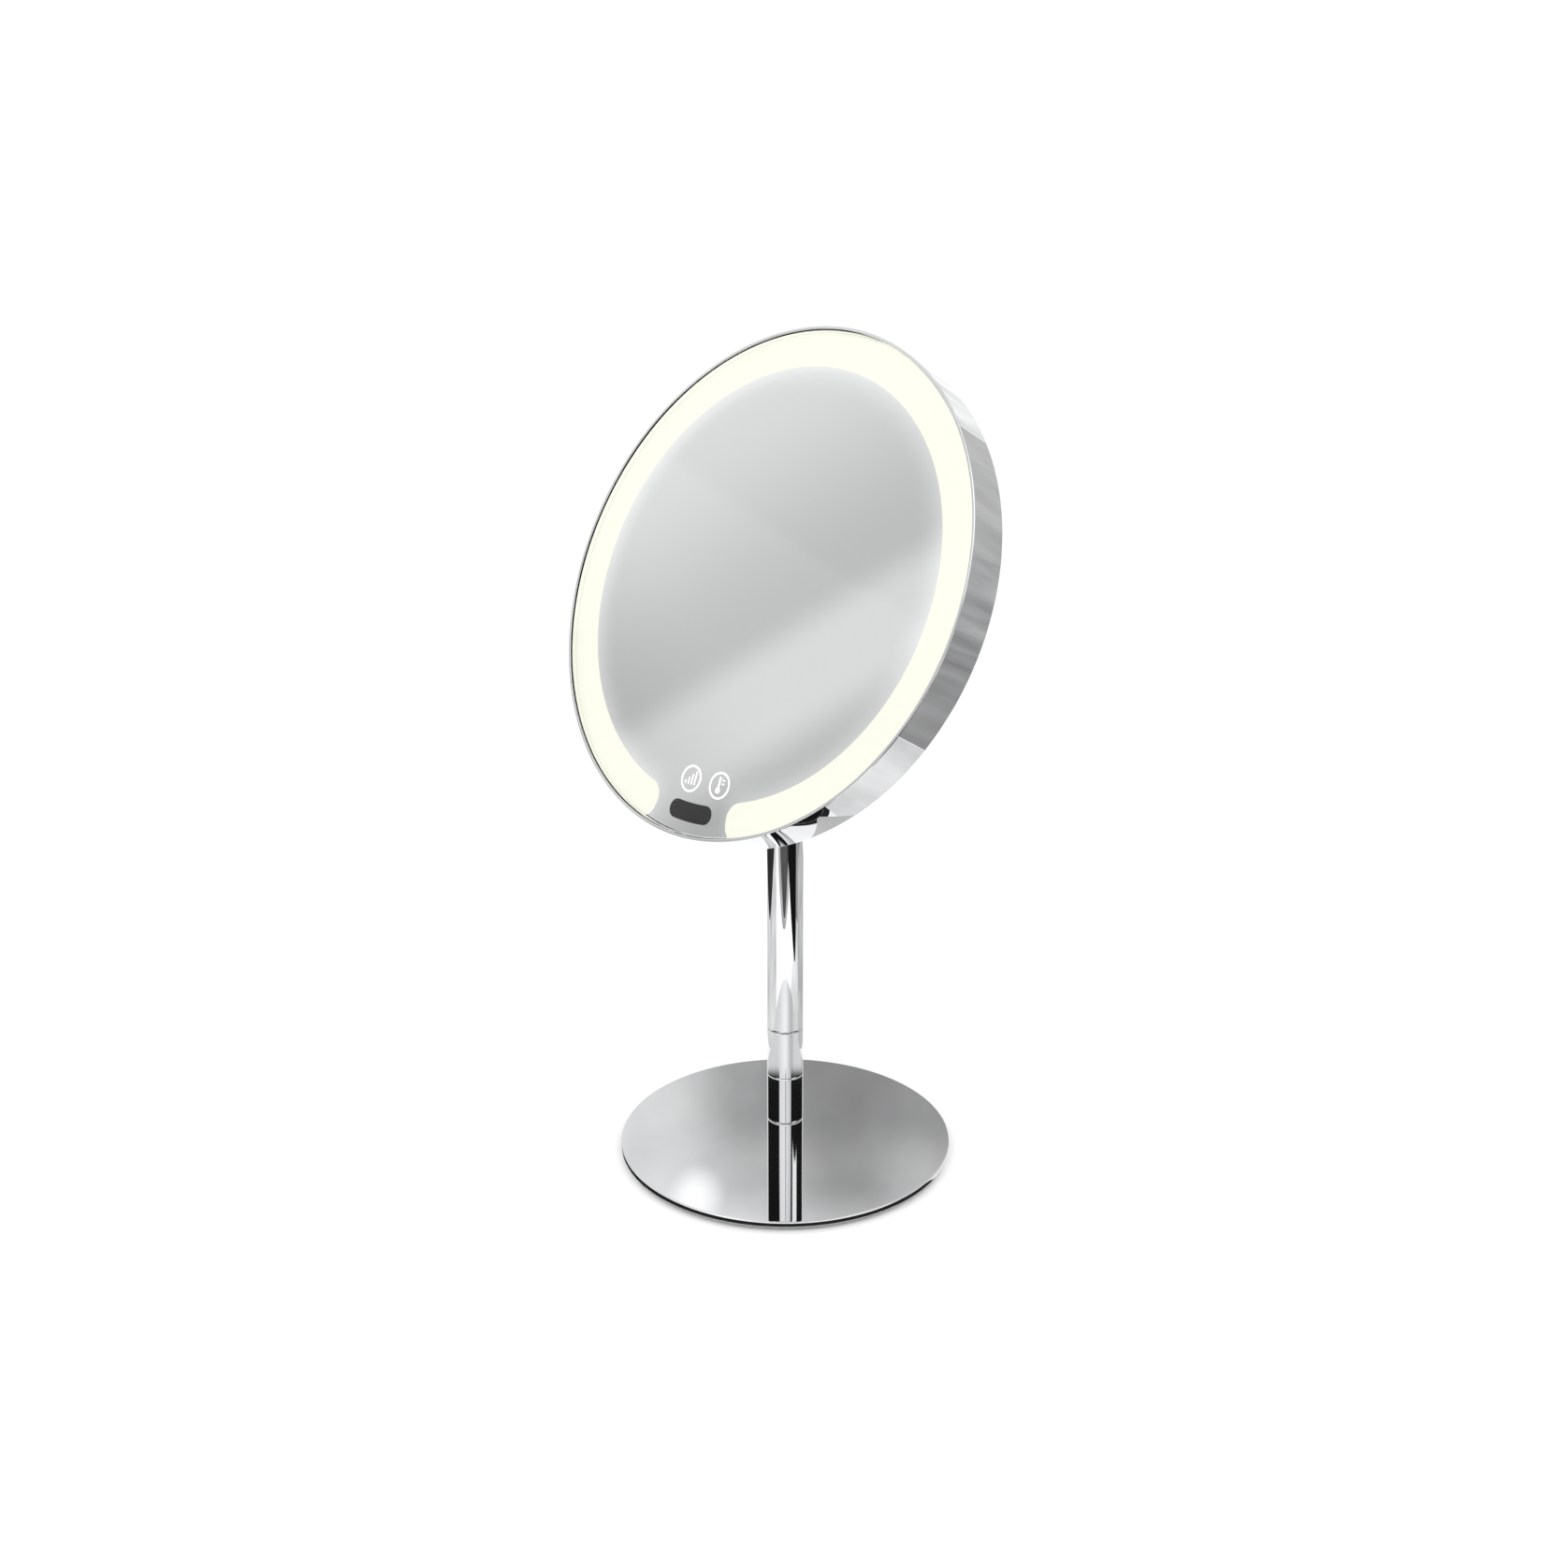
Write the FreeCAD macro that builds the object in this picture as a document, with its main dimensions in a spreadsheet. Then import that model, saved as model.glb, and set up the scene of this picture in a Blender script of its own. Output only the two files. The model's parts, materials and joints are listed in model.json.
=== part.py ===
"""Lighted vanity mirror on a swivelling stem, as a parametric document of separate pieces.

Units are millimetres and degrees. The origin is the centre of the foot's underside, +Z is up and
-Y is the user's side. Three frames are used. The base frame is the document's own. The stem frame
stands on the floor under the stem, turned by the swivel. The head frame has its origin at the
middle of the head's front plane, X to the viewer's right, Y up the mirror and Z out of the glass.
"""

import FreeCAD
import Part
import Sketcher
import math
import os
import re

doc = FreeCAD.newDocument("lighted_vanity_mirror")

# ---------------------------------------------------------------- driving dimensions

SIZES = {
    # foot
    "foot_radius": 66.5,
    "foot_thickness": 3.0,
    "foot_top_round": 0.35,
    "foot_undercut": 1.0,
    "pad_radius": 63.5,
    "pad_thickness": 1.0,
    "foot_screw_hole": 4.3,
    "foot_screw_head": 7.6,
    # stem
    "stem_back": 54.0,
    "stem_radius": 8.0,
    "stem_wall": 1.2,
    "seam_height": 26.0,
    "seam_gap": 0.1,
    "thrust_thickness": 0.5,
    "spigot_radius": 5.5,
    "spigot_top": 62.1,
    "bush_clearance": 0.04,
    "bush_top": 62.0,
    "pivot_height": 188.0,
    "shoulder_drop": 9.5,
    "plug_depth": 16.0,
    # hinge
    "tongue_half": 4.0,
    "tongue_radius": 7.0,
    "hinge_bolt_radius": 3.0,
    "hinge_clearance": 0.04,
    "friction_washer": 0.5,
    "ear_thickness": 3.0,
    "ear_radius": 6.5,
    "pivot_below": 25.3,
    "pivot_behind": 33.5,
    "swivel_at_rest": 43.74,
    "tilt_at_rest": 22.35,
    # head shell
    "head_radius": 105.0,
    "ring_wall": 1.2,
    "ring_depth": 18.5,
    "ring_edge_round": 0.4,
    "ledge_front": 7.6,
    "ledge_back": 8.8,
    "ledge_radius": 102.4,
    # optical stack, as depths behind the front plane
    "glass_radius": 103.5,
    "glass_front": 0.6,
    "glass_thickness": 4.0,
    "glass_edge": 0.4,
    "silver_thickness": 0.15,
    "silver_radius": 103.3,
    "band_inner": 89.5,
    "band_gap_angle": 24.0,
    "band_inner_round": 6.5,
    "band_outer_round": 6.0,
    "diffuser_front": 4.85,
    "diffuser_thickness": 2.5,
    "diffuser_inner": 88.3,
    "diffuser_radius": 103.3,
    "diffuser_gap_angle": 23.4,
    "diffuser_round": 3.0,
    # face marks
    "window_inner": 90.8,
    "window_outer": 98.5,
    "window_angle": 14.4,
    "window_round": 3.8,
    "window_thickness": 0.35,
    "icon_row": -81.5,
    "brightness_x": -4.4,
    "temperature_x": 11.7,
    "icon_radius": 5.5,
    "icon_line": 0.8,
    "bar_width": 0.65,
    # inner tray
    "deck_front": 5.75,
    "deck_thickness": 1.5,
    "channel_floor": 11.5,
    "tray_back": 13.0,
    "tray_radius": 103.6,
    "boss_reach": 76.0,
    "boss_radius": 3.6,
    "boss_pilot": 1.25,
    "board_pocket_half": 21.0,
    "board_pocket_low": 100.5,
    "board_pocket_high": 71.0,
    "board_pocket_floor": 9.0,
    # lights
    "led_board_inner": 90.0,
    "led_board_outer": 100.0,
    "led_board_thickness": 1.2,
    "led_reach": 95.0,
    "led_long": 3.5,
    "led_wide": 2.8,
    "led_high": 0.8,
    "led_pairs": 28.0,
    # back cover
    "cover_back": 21.3,
    "cover_wall": 1.8,
    "cover_radius": 104.4,
    "cover_hole": 1.7,
    # electronics
    "board_thickness": 1.2,
    "battery_long": 64.0,
    "battery_wide": 44.0,
    "battery_high": 6.5,
    "main_board_long": 62.0,
    "main_board_wide": 30.0,
    "port_x": 44.0,
    "port_y": -46.0,
    "port_long": 9.0,
    "port_wide": 3.3,
    "switch_x": -44.0,
    "switch_y": -46.0,
    "switch_travel": 3.0,
    "switch_post": 7.0,
    "port_post": 8.0,
    "wire_hole_x": -82.3,
    "wire_hole_y": -47.5,
    "slider_long": 5.0,
    "slider_wide": 3.0,
    "slot_clearance": 0.2,
    "wire_radius": 0.6,
    "wire_clearance": 0.1,
    "ribbon_width": 8.0,
    "board_hole_x": 27.5,
    "board_hole_top": 1.5,
    "board_hole_bottom": 24.5,
    # fixings
    "foot_key": 2.5,
    "swivel_key": 2.2,
    "bracket_hole_x": 13.5,
    "bracket_hole_y": 11.0,
    "cover_screw_count": 6.0,
    "bar_count": 4.0,
    "bar_rise": 1.4,
    "led_end_margin": 6.0,
}

# shared numbers with no size of their own
NEAR = 1e-6
NEAR_ENOUGH = 1e-3
UPRIGHT_SHARE = 0.99
VOLUME_SLACK = 0.02
FULL_TURN = 360.0
STRAIGHT_DOWN = 270.0
HEXAGON_SIDES = 6

sheet = doc.addObject("Spreadsheet::Sheet", "Sizes")
for row, (alias, value) in enumerate(SIZES.items(), 1):
    sheet.set(f"A{row}", alias.replace("_", " "))
    sheet.set(f"B{row}", str(value))
    sheet.setAlias(f"B{row}", alias)
doc.recompute()

FUNCTIONS = {"sin", "cos", "tan", "sqrt"}


def bound(expression):
    """The expression with each alias read from the sheet."""
    expression = str(expression)
    return re.sub(
        r"[A-Za-z_]\w*",
        lambda m: m.group(0) if m.group(0) in FUNCTIONS else "Sizes." + m.group(0),
        expression,
    )


def number(expression):
    """The value that the expression has now."""
    return float(sheet.evalExpression(bound(expression)))


# ---------------------------------------------------------------- frames

BASE_FRAME = FreeCAD.Placement()
STEM_FRAME = FreeCAD.Placement(
    FreeCAD.Vector(0, number("stem_back"), 0),
    FreeCAD.Rotation(-number("swivel_at_rest"), 0, 0),
)
head_turn = FreeCAD.Rotation(-number("swivel_at_rest"), 0, 90 - number("tilt_at_rest"))
pivot = FreeCAD.Vector(0, number("stem_back"), number("pivot_height"))
pivot_in_head = FreeCAD.Vector(0, -number("pivot_below"), -number("pivot_behind"))
HEAD_FRAME = FreeCAD.Placement(pivot - head_turn.multVec(pivot_in_head), head_turn)

pieces = []


def finish_piece(piece, label, frame):
    """Names the piece, puts it in its frame and lists it for export."""
    piece.Label = label
    piece.Placement = frame
    pieces.append(piece)
    return piece


# ---------------------------------------------------------------- PartDesign helpers


def new_body(label, frame):
    body = doc.addObject("PartDesign::Body", label)
    body.AllowCompound = True
    return finish_piece(body, label, frame)


def new_sketch(body, name, role, level="0"):
    """A sketch on one of the body's own origin planes, moved off it by level."""
    sketch = body.newObject("Sketcher::SketchObject", f"{body.Name}_{name}")
    plane = next(o for o in body.Origin.OriginFeatures if o.Role == role)
    sketch.AttachmentSupport = [(plane, "")]
    sketch.MapMode = "FlatFace"
    sketch.setExpression("AttachmentOffset.Base.z", bound(level))
    return sketch


def pin_point(sketch, geometry, end, x, y):
    """Ties one point of the sketch to bound coordinates."""
    for kind, axis, expression in (("DistanceX", -2, x), ("DistanceY", -1, y)):
        value = number(expression)
        if abs(value) < NEAR:
            sketch.addConstraint(Sketcher.Constraint("PointOnObject", geometry, end, axis))
            continue
        index = sketch.addConstraint(Sketcher.Constraint(kind, -1, 1, geometry, end, value))
        sketch.setExpression(f"Constraints[{index}]", bound(expression))


def draw_polygon(sketch, corners):
    """A closed outline whose corners are pairs of expressions."""
    spots = [FreeCAD.Vector(number(x), number(y), 0) for x, y in corners]
    first = sketch.GeometryCount
    count = len(spots)
    for i in range(count):
        sketch.addGeometry(Part.LineSegment(spots[i], spots[(i + 1) % count]), False)
    for i in range(count):
        joined = Sketcher.Constraint("Coincident", first + i, 2, first + (i + 1) % count, 1)
        sketch.addConstraint(joined)
    for i, (x, y) in enumerate(corners):
        pin_point(sketch, first + i, 1, x, y)


def draw_circle(sketch, x, y, radius):
    """A circle with bound centre and radius."""
    centre = FreeCAD.Vector(number(x), number(y), 0)
    index = sketch.addGeometry(Part.Circle(centre, FreeCAD.Vector(0, 0, 1), number(radius)), False)
    pin_point(sketch, index, 3, x, y)
    size = sketch.addConstraint(Sketcher.Constraint("Radius", index, number(radius)))
    sketch.setExpression(f"Constraints[{size}]", bound(radius))


def rectangle(x, y, long, wide):
    """Corner expressions of a rectangle centred on x, y."""
    left, right = f"({x})-({long})/2", f"({x})+({long})/2"
    low, high = f"({y})-({wide})/2", f"({y})+({wide})/2"
    return [(left, low), (right, low), (right, high), (left, high)]


def hexagon(size):
    """Corner expressions of a key socket."""
    step = FULL_TURN / HEXAGON_SIDES
    return [(f"{size}*cos({step * i})", f"{size}*sin({step * i})") for i in range(HEXAGON_SIDES)]


def revolve(body, name, profile, role="XZ_Plane", angle=None):
    """Turns a profile about Z, the whole way or by an angle that the sketch plane halves."""
    sketch = new_sketch(body, name + "_profile", role)
    draw_polygon(sketch, profile)
    turned = body.newObject("PartDesign::Revolution", f"{body.Name}_{name}")
    turned.Profile = sketch
    turned.ReferenceAxis = (sketch, ["V_Axis"])
    if angle is None:
        turned.Angle = 360
    else:
        turned.setExpression("Angle", bound(angle))
        turned.Midplane = True
    doc.recompute()
    return turned


def pad(body, name, level, height, polygon=None, circles=()):
    """Pads a polygon and circles upwards from level."""
    sketch = new_sketch(body, name + "_outline", "XY_Plane", level)
    if polygon:
        draw_polygon(sketch, polygon)
    for circle in circles:
        draw_circle(sketch, *circle)
    raised = body.newObject("PartDesign::Pad", f"{body.Name}_{name}")
    raised.Profile = sketch
    raised.setExpression("Length", bound(height))
    doc.recompute()
    return raised


def pocket(body, name, level, depth, polygon=None, circles=()):
    """Cuts a polygon and circles downwards from level, and makes sure that it cut something."""
    before = body.Shape.Volume
    sketch = new_sketch(body, name + "_outline", "XY_Plane", level)
    if polygon:
        draw_polygon(sketch, polygon)
    for circle in circles:
        draw_circle(sketch, *circle)
    cut = body.newObject("PartDesign::Pocket", f"{body.Name}_{name}")
    cut.Profile = sketch
    cut.setExpression("Length", bound(depth))
    doc.recompute()
    if body.Shape.Volume > before - NEAR:
        raise RuntimeError(f"{body.Label}: pocket {name} cut nothing")
    return cut


def turned_piece(label, frame, profile):
    body = new_body(label, frame)
    revolve(body, "turning", profile)
    return body


def edges_where(shape, test):
    """Names of the edges whose middle point passes the test."""
    found = []
    for i, edge in enumerate(shape.Edges, 1):
        middle = edge.valueAt((edge.FirstParameter + edge.LastParameter) / 2)
        if test(edge, middle):
            found.append(f"Edge{i}")
    return found


def round_edges(body, name, size, test, kind="Fillet"):
    """Rounds or bevels the body's edges that pass the test, in the body's own frame."""
    tip = body.Tip
    names = edges_where(tip.Shape, test)
    if not names:
        raise RuntimeError(f"{body.Label}: {name} found no edge")
    dressed = body.newObject(f"PartDesign::{kind}", f"{body.Name}_{name}")
    dressed.Base = (tip, names)
    dressed.setExpression("Radius" if kind == "Fillet" else "Size", bound(size))
    doc.recompute()
    return dressed


def reach(point):
    """Distance from the body's Z axis."""
    return math.hypot(point.x, point.y)


def upright(edge):
    """True for a straight edge along Z."""
    line = edge.Curve.TypeId == "Part::GeomLine"
    return line and abs(edge.tangentAt(edge.FirstParameter).z) > UPRIGHT_SHARE


def polar(reach_expression, angle):
    """X and Y expressions of a point at an angle from the head frame's +X."""
    return f"({reach_expression})*cos({angle})", f"({reach_expression})*sin({angle})"


# ---------------------------------------------------------------- Part helpers


def bind(piece, **sizes):
    for field, expression in sizes.items():
        piece.setExpression(field, bound(expression))
    return piece


def cylinder(name, radius, height, x="0", y="0", z="0", axis="Z"):
    """A bound cylinder that starts at x, y, z and runs along +Z or +X."""
    made = doc.addObject("Part::Cylinder", name)
    if axis == "X":
        made.Placement = FreeCAD.Placement(FreeCAD.Vector(), FreeCAD.Rotation(0, 90, 0))
    bind(made, Radius=radius, Height=height)
    bind(made, **{"Placement.Base.x": x, "Placement.Base.y": y, "Placement.Base.z": z})
    return made


def box(name, long, wide, high, x, y, z, turn=0.0):
    """A bound box centred on x, y, with its underside at z, turned about its own middle."""
    made = doc.addObject("Part::Box", name)
    bind(made, Length=long, Width=wide, Height=high)
    made.Placement = FreeCAD.Placement(FreeCAD.Vector(), FreeCAD.Rotation(turn, 0, 0))
    half = f"(({long})/2)", f"(({wide})/2)"
    bind(
        made,
        **{
            "Placement.Base.x": f"({x})-{half[0]}*cos({turn})+{half[1]}*sin({turn})",
            "Placement.Base.y": f"({y})-{half[0]}*sin({turn})-{half[1]}*cos({turn})",
            "Placement.Base.z": z,
        },
    )
    return made


def fuse(name, *parts):
    made = doc.addObject("Part::MultiFuse", name)
    made.Shapes = list(parts)
    return made


def cut(name, base, tool):
    made = doc.addObject("Part::Cut", name)
    made.Base = base
    made.Tool = tool
    return made


def group(label, frame, parts):
    """Identical pieces that share one node."""
    made = doc.addObject("Part::Compound", label)
    made.Links = list(parts)
    return finish_piece(made, label, frame)


# ---------------------------------------------------------------- foot


def build_foot():
    plate = turned_piece(
        "base_plate",
        BASE_FRAME,
        [
            ("0", "pad_thickness"),
            ("foot_radius-foot_undercut", "pad_thickness"),
            ("foot_radius", "pad_thickness+foot_undercut"),
            ("foot_radius", "pad_thickness+foot_thickness"),
            ("0", "pad_thickness+foot_thickness"),
        ],
    )
    top = number("pad_thickness+foot_thickness")
    rim = number("foot_radius")
    round_edges(
        plate,
        "rim_round",
        "foot_top_round",
        lambda e, m: abs(m.z - top) < NEAR and abs(reach(m) - rim) < NEAR,
    )
    hole = [("0", "stem_back", "foot_screw_hole")]
    pocket(plate, "screw_hole", "pad_thickness+foot_thickness", "foot_thickness+1", circles=hole)
    seat = [("0", "stem_back", "foot_screw_head+0.1")]
    pocket(plate, "screw_seat", "pad_thickness+1.5", "3", circles=seat)

    pad_piece = turned_piece(
        "base_pad",
        BASE_FRAME,
        [("0", "0"), ("pad_radius", "0"), ("pad_radius", "pad_thickness"), ("0", "pad_thickness")],
    )
    relief = [("0", "stem_back", "foot_screw_head+0.4")]
    pocket(pad_piece, "screw_relief", "pad_thickness+1", "pad_thickness+2", circles=relief)


def build_foot_fixing():
    """The flat-headed screw that pulls the spigot down onto the plate."""
    screw = turned_piece(
        "base_screw",
        STEM_FRAME,
        [
            ("0", "pad_thickness+0.2"),
            ("foot_screw_head", "pad_thickness+0.2"),
            ("foot_screw_head", "pad_thickness+1.5"),
            ("4", "pad_thickness+1.5"),
            ("4", "seam_height-8"),
            ("0", "seam_height-8"),
        ],
    )
    pocket(screw, "key_socket", "pad_thickness+1.2", "2", polygon=hexagon("foot_key"))


# ---------------------------------------------------------------- stem and swivel


def build_lower_stem():
    foot_top = "pad_thickness+foot_thickness"
    turned_piece(
        "lower_collar",
        STEM_FRAME,
        [
            ("stem_radius-stem_wall", foot_top),
            ("stem_radius", foot_top),
            ("stem_radius", "seam_height-thrust_thickness-0.3"),
            ("stem_radius-0.3", "seam_height-thrust_thickness"),
            ("stem_radius-stem_wall", "seam_height-thrust_thickness"),
        ],
    )
    turned_piece(
        "swivel_spigot",
        STEM_FRAME,
        [
            ("4.05", foot_top),
            ("stem_radius-stem_wall", foot_top),
            ("stem_radius-stem_wall", "seam_height-thrust_thickness"),
            ("spigot_radius", "seam_height-thrust_thickness"),
            ("spigot_radius", "spigot_top"),
            ("2.55", "spigot_top"),
            ("2.55", "spigot_top-18"),
            ("0", "spigot_top-18"),
            ("0", "seam_height-7.5"),
            ("4.05", "seam_height-7.5"),
        ],
    )
    turned_piece(
        "thrust_washer",
        STEM_FRAME,
        [
            ("spigot_radius+0.1", "seam_height-thrust_thickness"),
            ("stem_radius-0.25", "seam_height-thrust_thickness"),
            ("stem_radius-0.25", "seam_height-seam_gap"),
            ("spigot_radius+0.1", "seam_height-seam_gap"),
        ],
    )
    turned_piece(
        "swivel_spring_washer",
        STEM_FRAME,
        [
            ("2.7", "spigot_top"),
            ("6.5", "spigot_top"),
            ("6.5", "spigot_top+0.8"),
            ("2.7", "spigot_top+0.8"),
        ],
    )
    screw = turned_piece(
        "swivel_screw",
        STEM_FRAME,
        [
            ("0", "spigot_top-15"),
            ("2.5", "spigot_top-15"),
            ("2.5", "spigot_top+0.8"),
            ("4.4", "spigot_top+0.8"),
            ("4.4", "spigot_top+3.6"),
            ("3.8", "spigot_top+4.2"),
            ("0", "spigot_top+4.2"),
        ],
    )
    pocket(screw, "key_socket", "spigot_top+5", "3.2", polygon=hexagon("swivel_key"))


def build_upper_stem():
    inside = "stem_radius-stem_wall"
    shoulder = "pivot_height-shoulder_drop"
    turned_piece(
        "stem_tube",
        STEM_FRAME,
        [
            (inside, "seam_height"),
            ("stem_radius-0.3", "seam_height"),
            ("stem_radius", "seam_height+0.3"),
            ("stem_radius", shoulder + "-4"),
            (inside, shoulder + "-4"),
        ],
    )
    turned_piece(
        "swivel_bush",
        STEM_FRAME,
        [
            ("spigot_radius+bush_clearance", "seam_height"),
            (inside, "seam_height"),
            (inside, "bush_top"),
            ("spigot_radius+bush_clearance", "bush_top"),
        ],
    )
    knuckle = turned_piece(
        "stem_knuckle",
        STEM_FRAME,
        [
            ("0", shoulder + "-plug_depth"),
            (inside, shoulder + "-plug_depth"),
            (inside, shoulder + "-4"),
            ("stem_radius", shoulder + "-4"),
            ("stem_radius", shoulder + "-0.6"),
            ("stem_radius-0.6", shoulder),
            ("0", shoulder),
        ],
    )
    # the tongue is padded sideways, from a sketch on the plane that the hinge axis crosses
    sketch = new_sketch(knuckle, "tongue_outline", "YZ_Plane")
    low, high = number(shoulder) - 1, number("pivot_height")
    half = number("tongue_radius")
    corners = [(-half, high), (-half, low), (half, low), (half, high)]
    spots = [FreeCAD.Vector(x, y, 0) for x, y in corners]
    left = sketch.addGeometry(Part.LineSegment(spots[0], spots[1]))
    floor = sketch.addGeometry(Part.LineSegment(spots[1], spots[2]))
    right = sketch.addGeometry(Part.LineSegment(spots[2], spots[3]))
    centre = FreeCAD.Vector(0, high, 0)
    crown = sketch.addGeometry(
        Part.ArcOfCircle(Part.Circle(centre, FreeCAD.Vector(0, 0, 1), half), 0, math.pi)
    )
    for a, a_end, b, b_end in ((left, 2, floor, 1), (floor, 2, right, 1)):
        sketch.addConstraint(Sketcher.Constraint("Coincident", a, a_end, b, b_end))
    sketch.addConstraint(Sketcher.Constraint("Tangent", right, 2, crown, 1))
    sketch.addConstraint(Sketcher.Constraint("Tangent", crown, 2, left, 1))
    pin_point(sketch, crown, 3, "0", "pivot_height")
    size = sketch.addConstraint(Sketcher.Constraint("Radius", crown, half))
    sketch.setExpression(f"Constraints[{size}]", bound("tongue_radius"))
    pin_point(sketch, floor, 1, "0-tongue_radius", shoulder + "-1")
    sketch.addConstraint(Sketcher.Constraint("Horizontal", floor))
    tongue = knuckle.newObject("PartDesign::Pad", "stem_knuckle_tongue")
    tongue.Profile = sketch
    tongue.Midplane = True
    tongue.setExpression("Length", bound("2*tongue_half"))
    doc.recompute()
    bore = new_sketch(knuckle, "bore_outline", "YZ_Plane", "0-tongue_half-1")
    draw_circle(bore, "0", "pivot_height", "hinge_bolt_radius+hinge_clearance")
    drilled = knuckle.newObject("PartDesign::Pocket", "stem_knuckle_bore")
    drilled.Profile = bore
    drilled.Reversed = True
    before = knuckle.Shape.Volume
    drilled.setExpression("Length", bound("2*tongue_half+2"))
    doc.recompute()
    if knuckle.Shape.Volume > before - 1:
        raise RuntimeError("stem_knuckle: the bore cut nothing")


# ---------------------------------------------------------------- hinge


def build_hinge():
    """Fork on the head, and the bolt, washers and nut that clamp it to the stem's tongue."""
    inner = "tongue_half+friction_washer"
    parts = [box("bracket_plate", "36", "30", "2", "0", "0-pivot_below", "0-cover_back-2")]
    for side, start in (("right", inner), ("left", "0-(" + inner + ")-ear_thickness")):
        ear = box(
            f"{side}_ear_web",
            "ear_thickness",
            "2*ear_radius",
            "pivot_behind-cover_back-1",
            f"({start})+ear_thickness/2",
            "0-pivot_below",
            "0-pivot_behind",
        )
        eye = cylinder(
            f"{side}_ear_eye",
            "ear_radius",
            "ear_thickness",
            start,
            "0-pivot_below",
            "0-pivot_behind",
            "X",
        )
        parts += [ear, eye]
    solid = fuse("bracket_solid", *parts)
    bore = cylinder(
        "bracket_bore",
        "hinge_bolt_radius",
        "40",
        "0-20",
        "0-pivot_below",
        "0-pivot_behind",
        "X",
    )
    holes = [
        cylinder(f"bracket_hole_{i}", "1.6", "6", f"{x}", f"{y}-pivot_below", "0-cover_back-4")
        for i, (x, y) in enumerate(bracket_spots())
    ]
    bracket = cut("hinge_bracket", solid, fuse("bracket_cuts", bore, *holes))
    finish_piece(bracket, "hinge_bracket", HEAD_FRAME)

    reach_out = inner + "+ear_thickness"
    shank = cylinder(
        "hinge_shank",
        "hinge_bolt_radius",
        f"2*({reach_out})+7",
        f"0-({reach_out})-6",
        "0-pivot_below",
        "0-pivot_behind",
        "X",
    )
    cap = cylinder("hinge_cap", "5", "2.8", reach_out, "0-pivot_below", "0-pivot_behind", "X")
    bolt = fuse("hinge_bolt", shank, cap)
    finish_piece(bolt, "hinge_bolt", HEAD_FRAME)
    starts = {"right": "tongue_half+0.06", "left": "0-tongue_half-friction_washer"}
    washers = [
        ring_along_x(f"friction_washer_{side}", "6.5", "friction_washer-0.06", start)
        for side, start in starts.items()
    ]
    group("hinge_friction_washers", HEAD_FRAME, washers)
    spring = ring_along_x("spring_washer", "5.2", "1", f"0-({reach_out})-1")
    finish_piece(spring, "hinge_spring_washer", HEAD_FRAME)
    nut = doc.addObject("Part::Prism", "hinge_nut_blank")
    nut.Polygon = HEXAGON_SIDES
    nut.Placement = FreeCAD.Placement(FreeCAD.Vector(), FreeCAD.Rotation(0, 90, 0))
    bind(nut, Circumradius="5.2", Height="4")
    bind(
        nut,
        **{
            "Placement.Base.x": f"0-({reach_out})-5",
            "Placement.Base.y": "0-pivot_below",
            "Placement.Base.z": "0-pivot_behind",
        },
    )
    thread = cylinder(
        "hinge_nut_thread",
        "hinge_bolt_radius",
        "8",
        f"0-({reach_out})-7",
        "0-pivot_below",
        "0-pivot_behind",
        "X",
    )
    finish_piece(cut("hinge_nut", nut, thread), "hinge_nut", HEAD_FRAME)


def ring_along_x(name, outer, thickness, start):
    """A washer on the hinge bolt."""
    axis = ("0-pivot_below", "0-pivot_behind", "X")
    disc = cylinder(name + "_disc", outer, thickness, start, *axis)
    hole = cylinder(name + "_hole", "hinge_bolt_radius", f"({thickness})+2", f"({start})-1", *axis)
    return cut(name, disc, hole)


def bracket_spots():
    """Screw places on the bracket plate, from the middle of the plate."""
    across, along = number("bracket_hole_x"), number("bracket_hole_y")
    return [(x, y) for x in (-across, across) for y in (-along, along)]


def build_bracket_fixings():
    plate = box("backing_blank", "36", "30", "1.6", "0", "0-pivot_below", "0-cover_back+cover_wall")
    holes = [
        cylinder(f"backing_hole_{i}", "1.5", "6", f"{x}", f"{y}-pivot_below", "0-cover_back")
        for i, (x, y) in enumerate(bracket_spots())
    ]
    drilled = cut("hinge_backing_plate", plate, fuse("backing_holes", *holes))
    finish_piece(drilled, "hinge_backing_plate", HEAD_FRAME)
    screws = []
    for i, (x, y) in enumerate(bracket_spots()):
        spot = (f"{x}", f"{y}-pivot_below")
        shank = cylinder(f"bracket_shank_{i}", "1.5", "cover_wall+2+2.6", *spot, "0-cover_back-2")
        head = cylinder(f"bracket_head_{i}", "2.8", "1.6", *spot, "0-cover_back-3.6")
        screws.append(fuse(f"bracket_screw_{i}", shank, head))
    group("bracket_screws", HEAD_FRAME, screws)


# ---------------------------------------------------------------- head shell


def build_ring():
    ring = turned_piece(
        "bezel_ring",
        HEAD_FRAME,
        [
            ("head_radius-ring_wall", "0"),
            ("head_radius", "0"),
            ("head_radius", "0-ring_depth"),
            ("head_radius-ring_wall", "0-ring_depth"),
            ("head_radius-ring_wall", "0-ledge_back"),
            ("ledge_radius", "0-ledge_back"),
            ("ledge_radius", "0-ledge_front"),
            ("head_radius-ring_wall", "0-ledge_front"),
        ],
    )
    outer, depth = number("head_radius"), number("ring_depth")
    round_edges(
        ring,
        "edge_round",
        "ring_edge_round",
        lambda e, m: abs(reach(m) - outer) < NEAR and min(abs(m.z), abs(m.z + depth)) < NEAR,
    )


def cover_spots():
    """Angles of the screws that hold the cover."""
    count = int(number("cover_screw_count"))
    return [FULL_TURN / count * i for i in range(count)]


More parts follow.
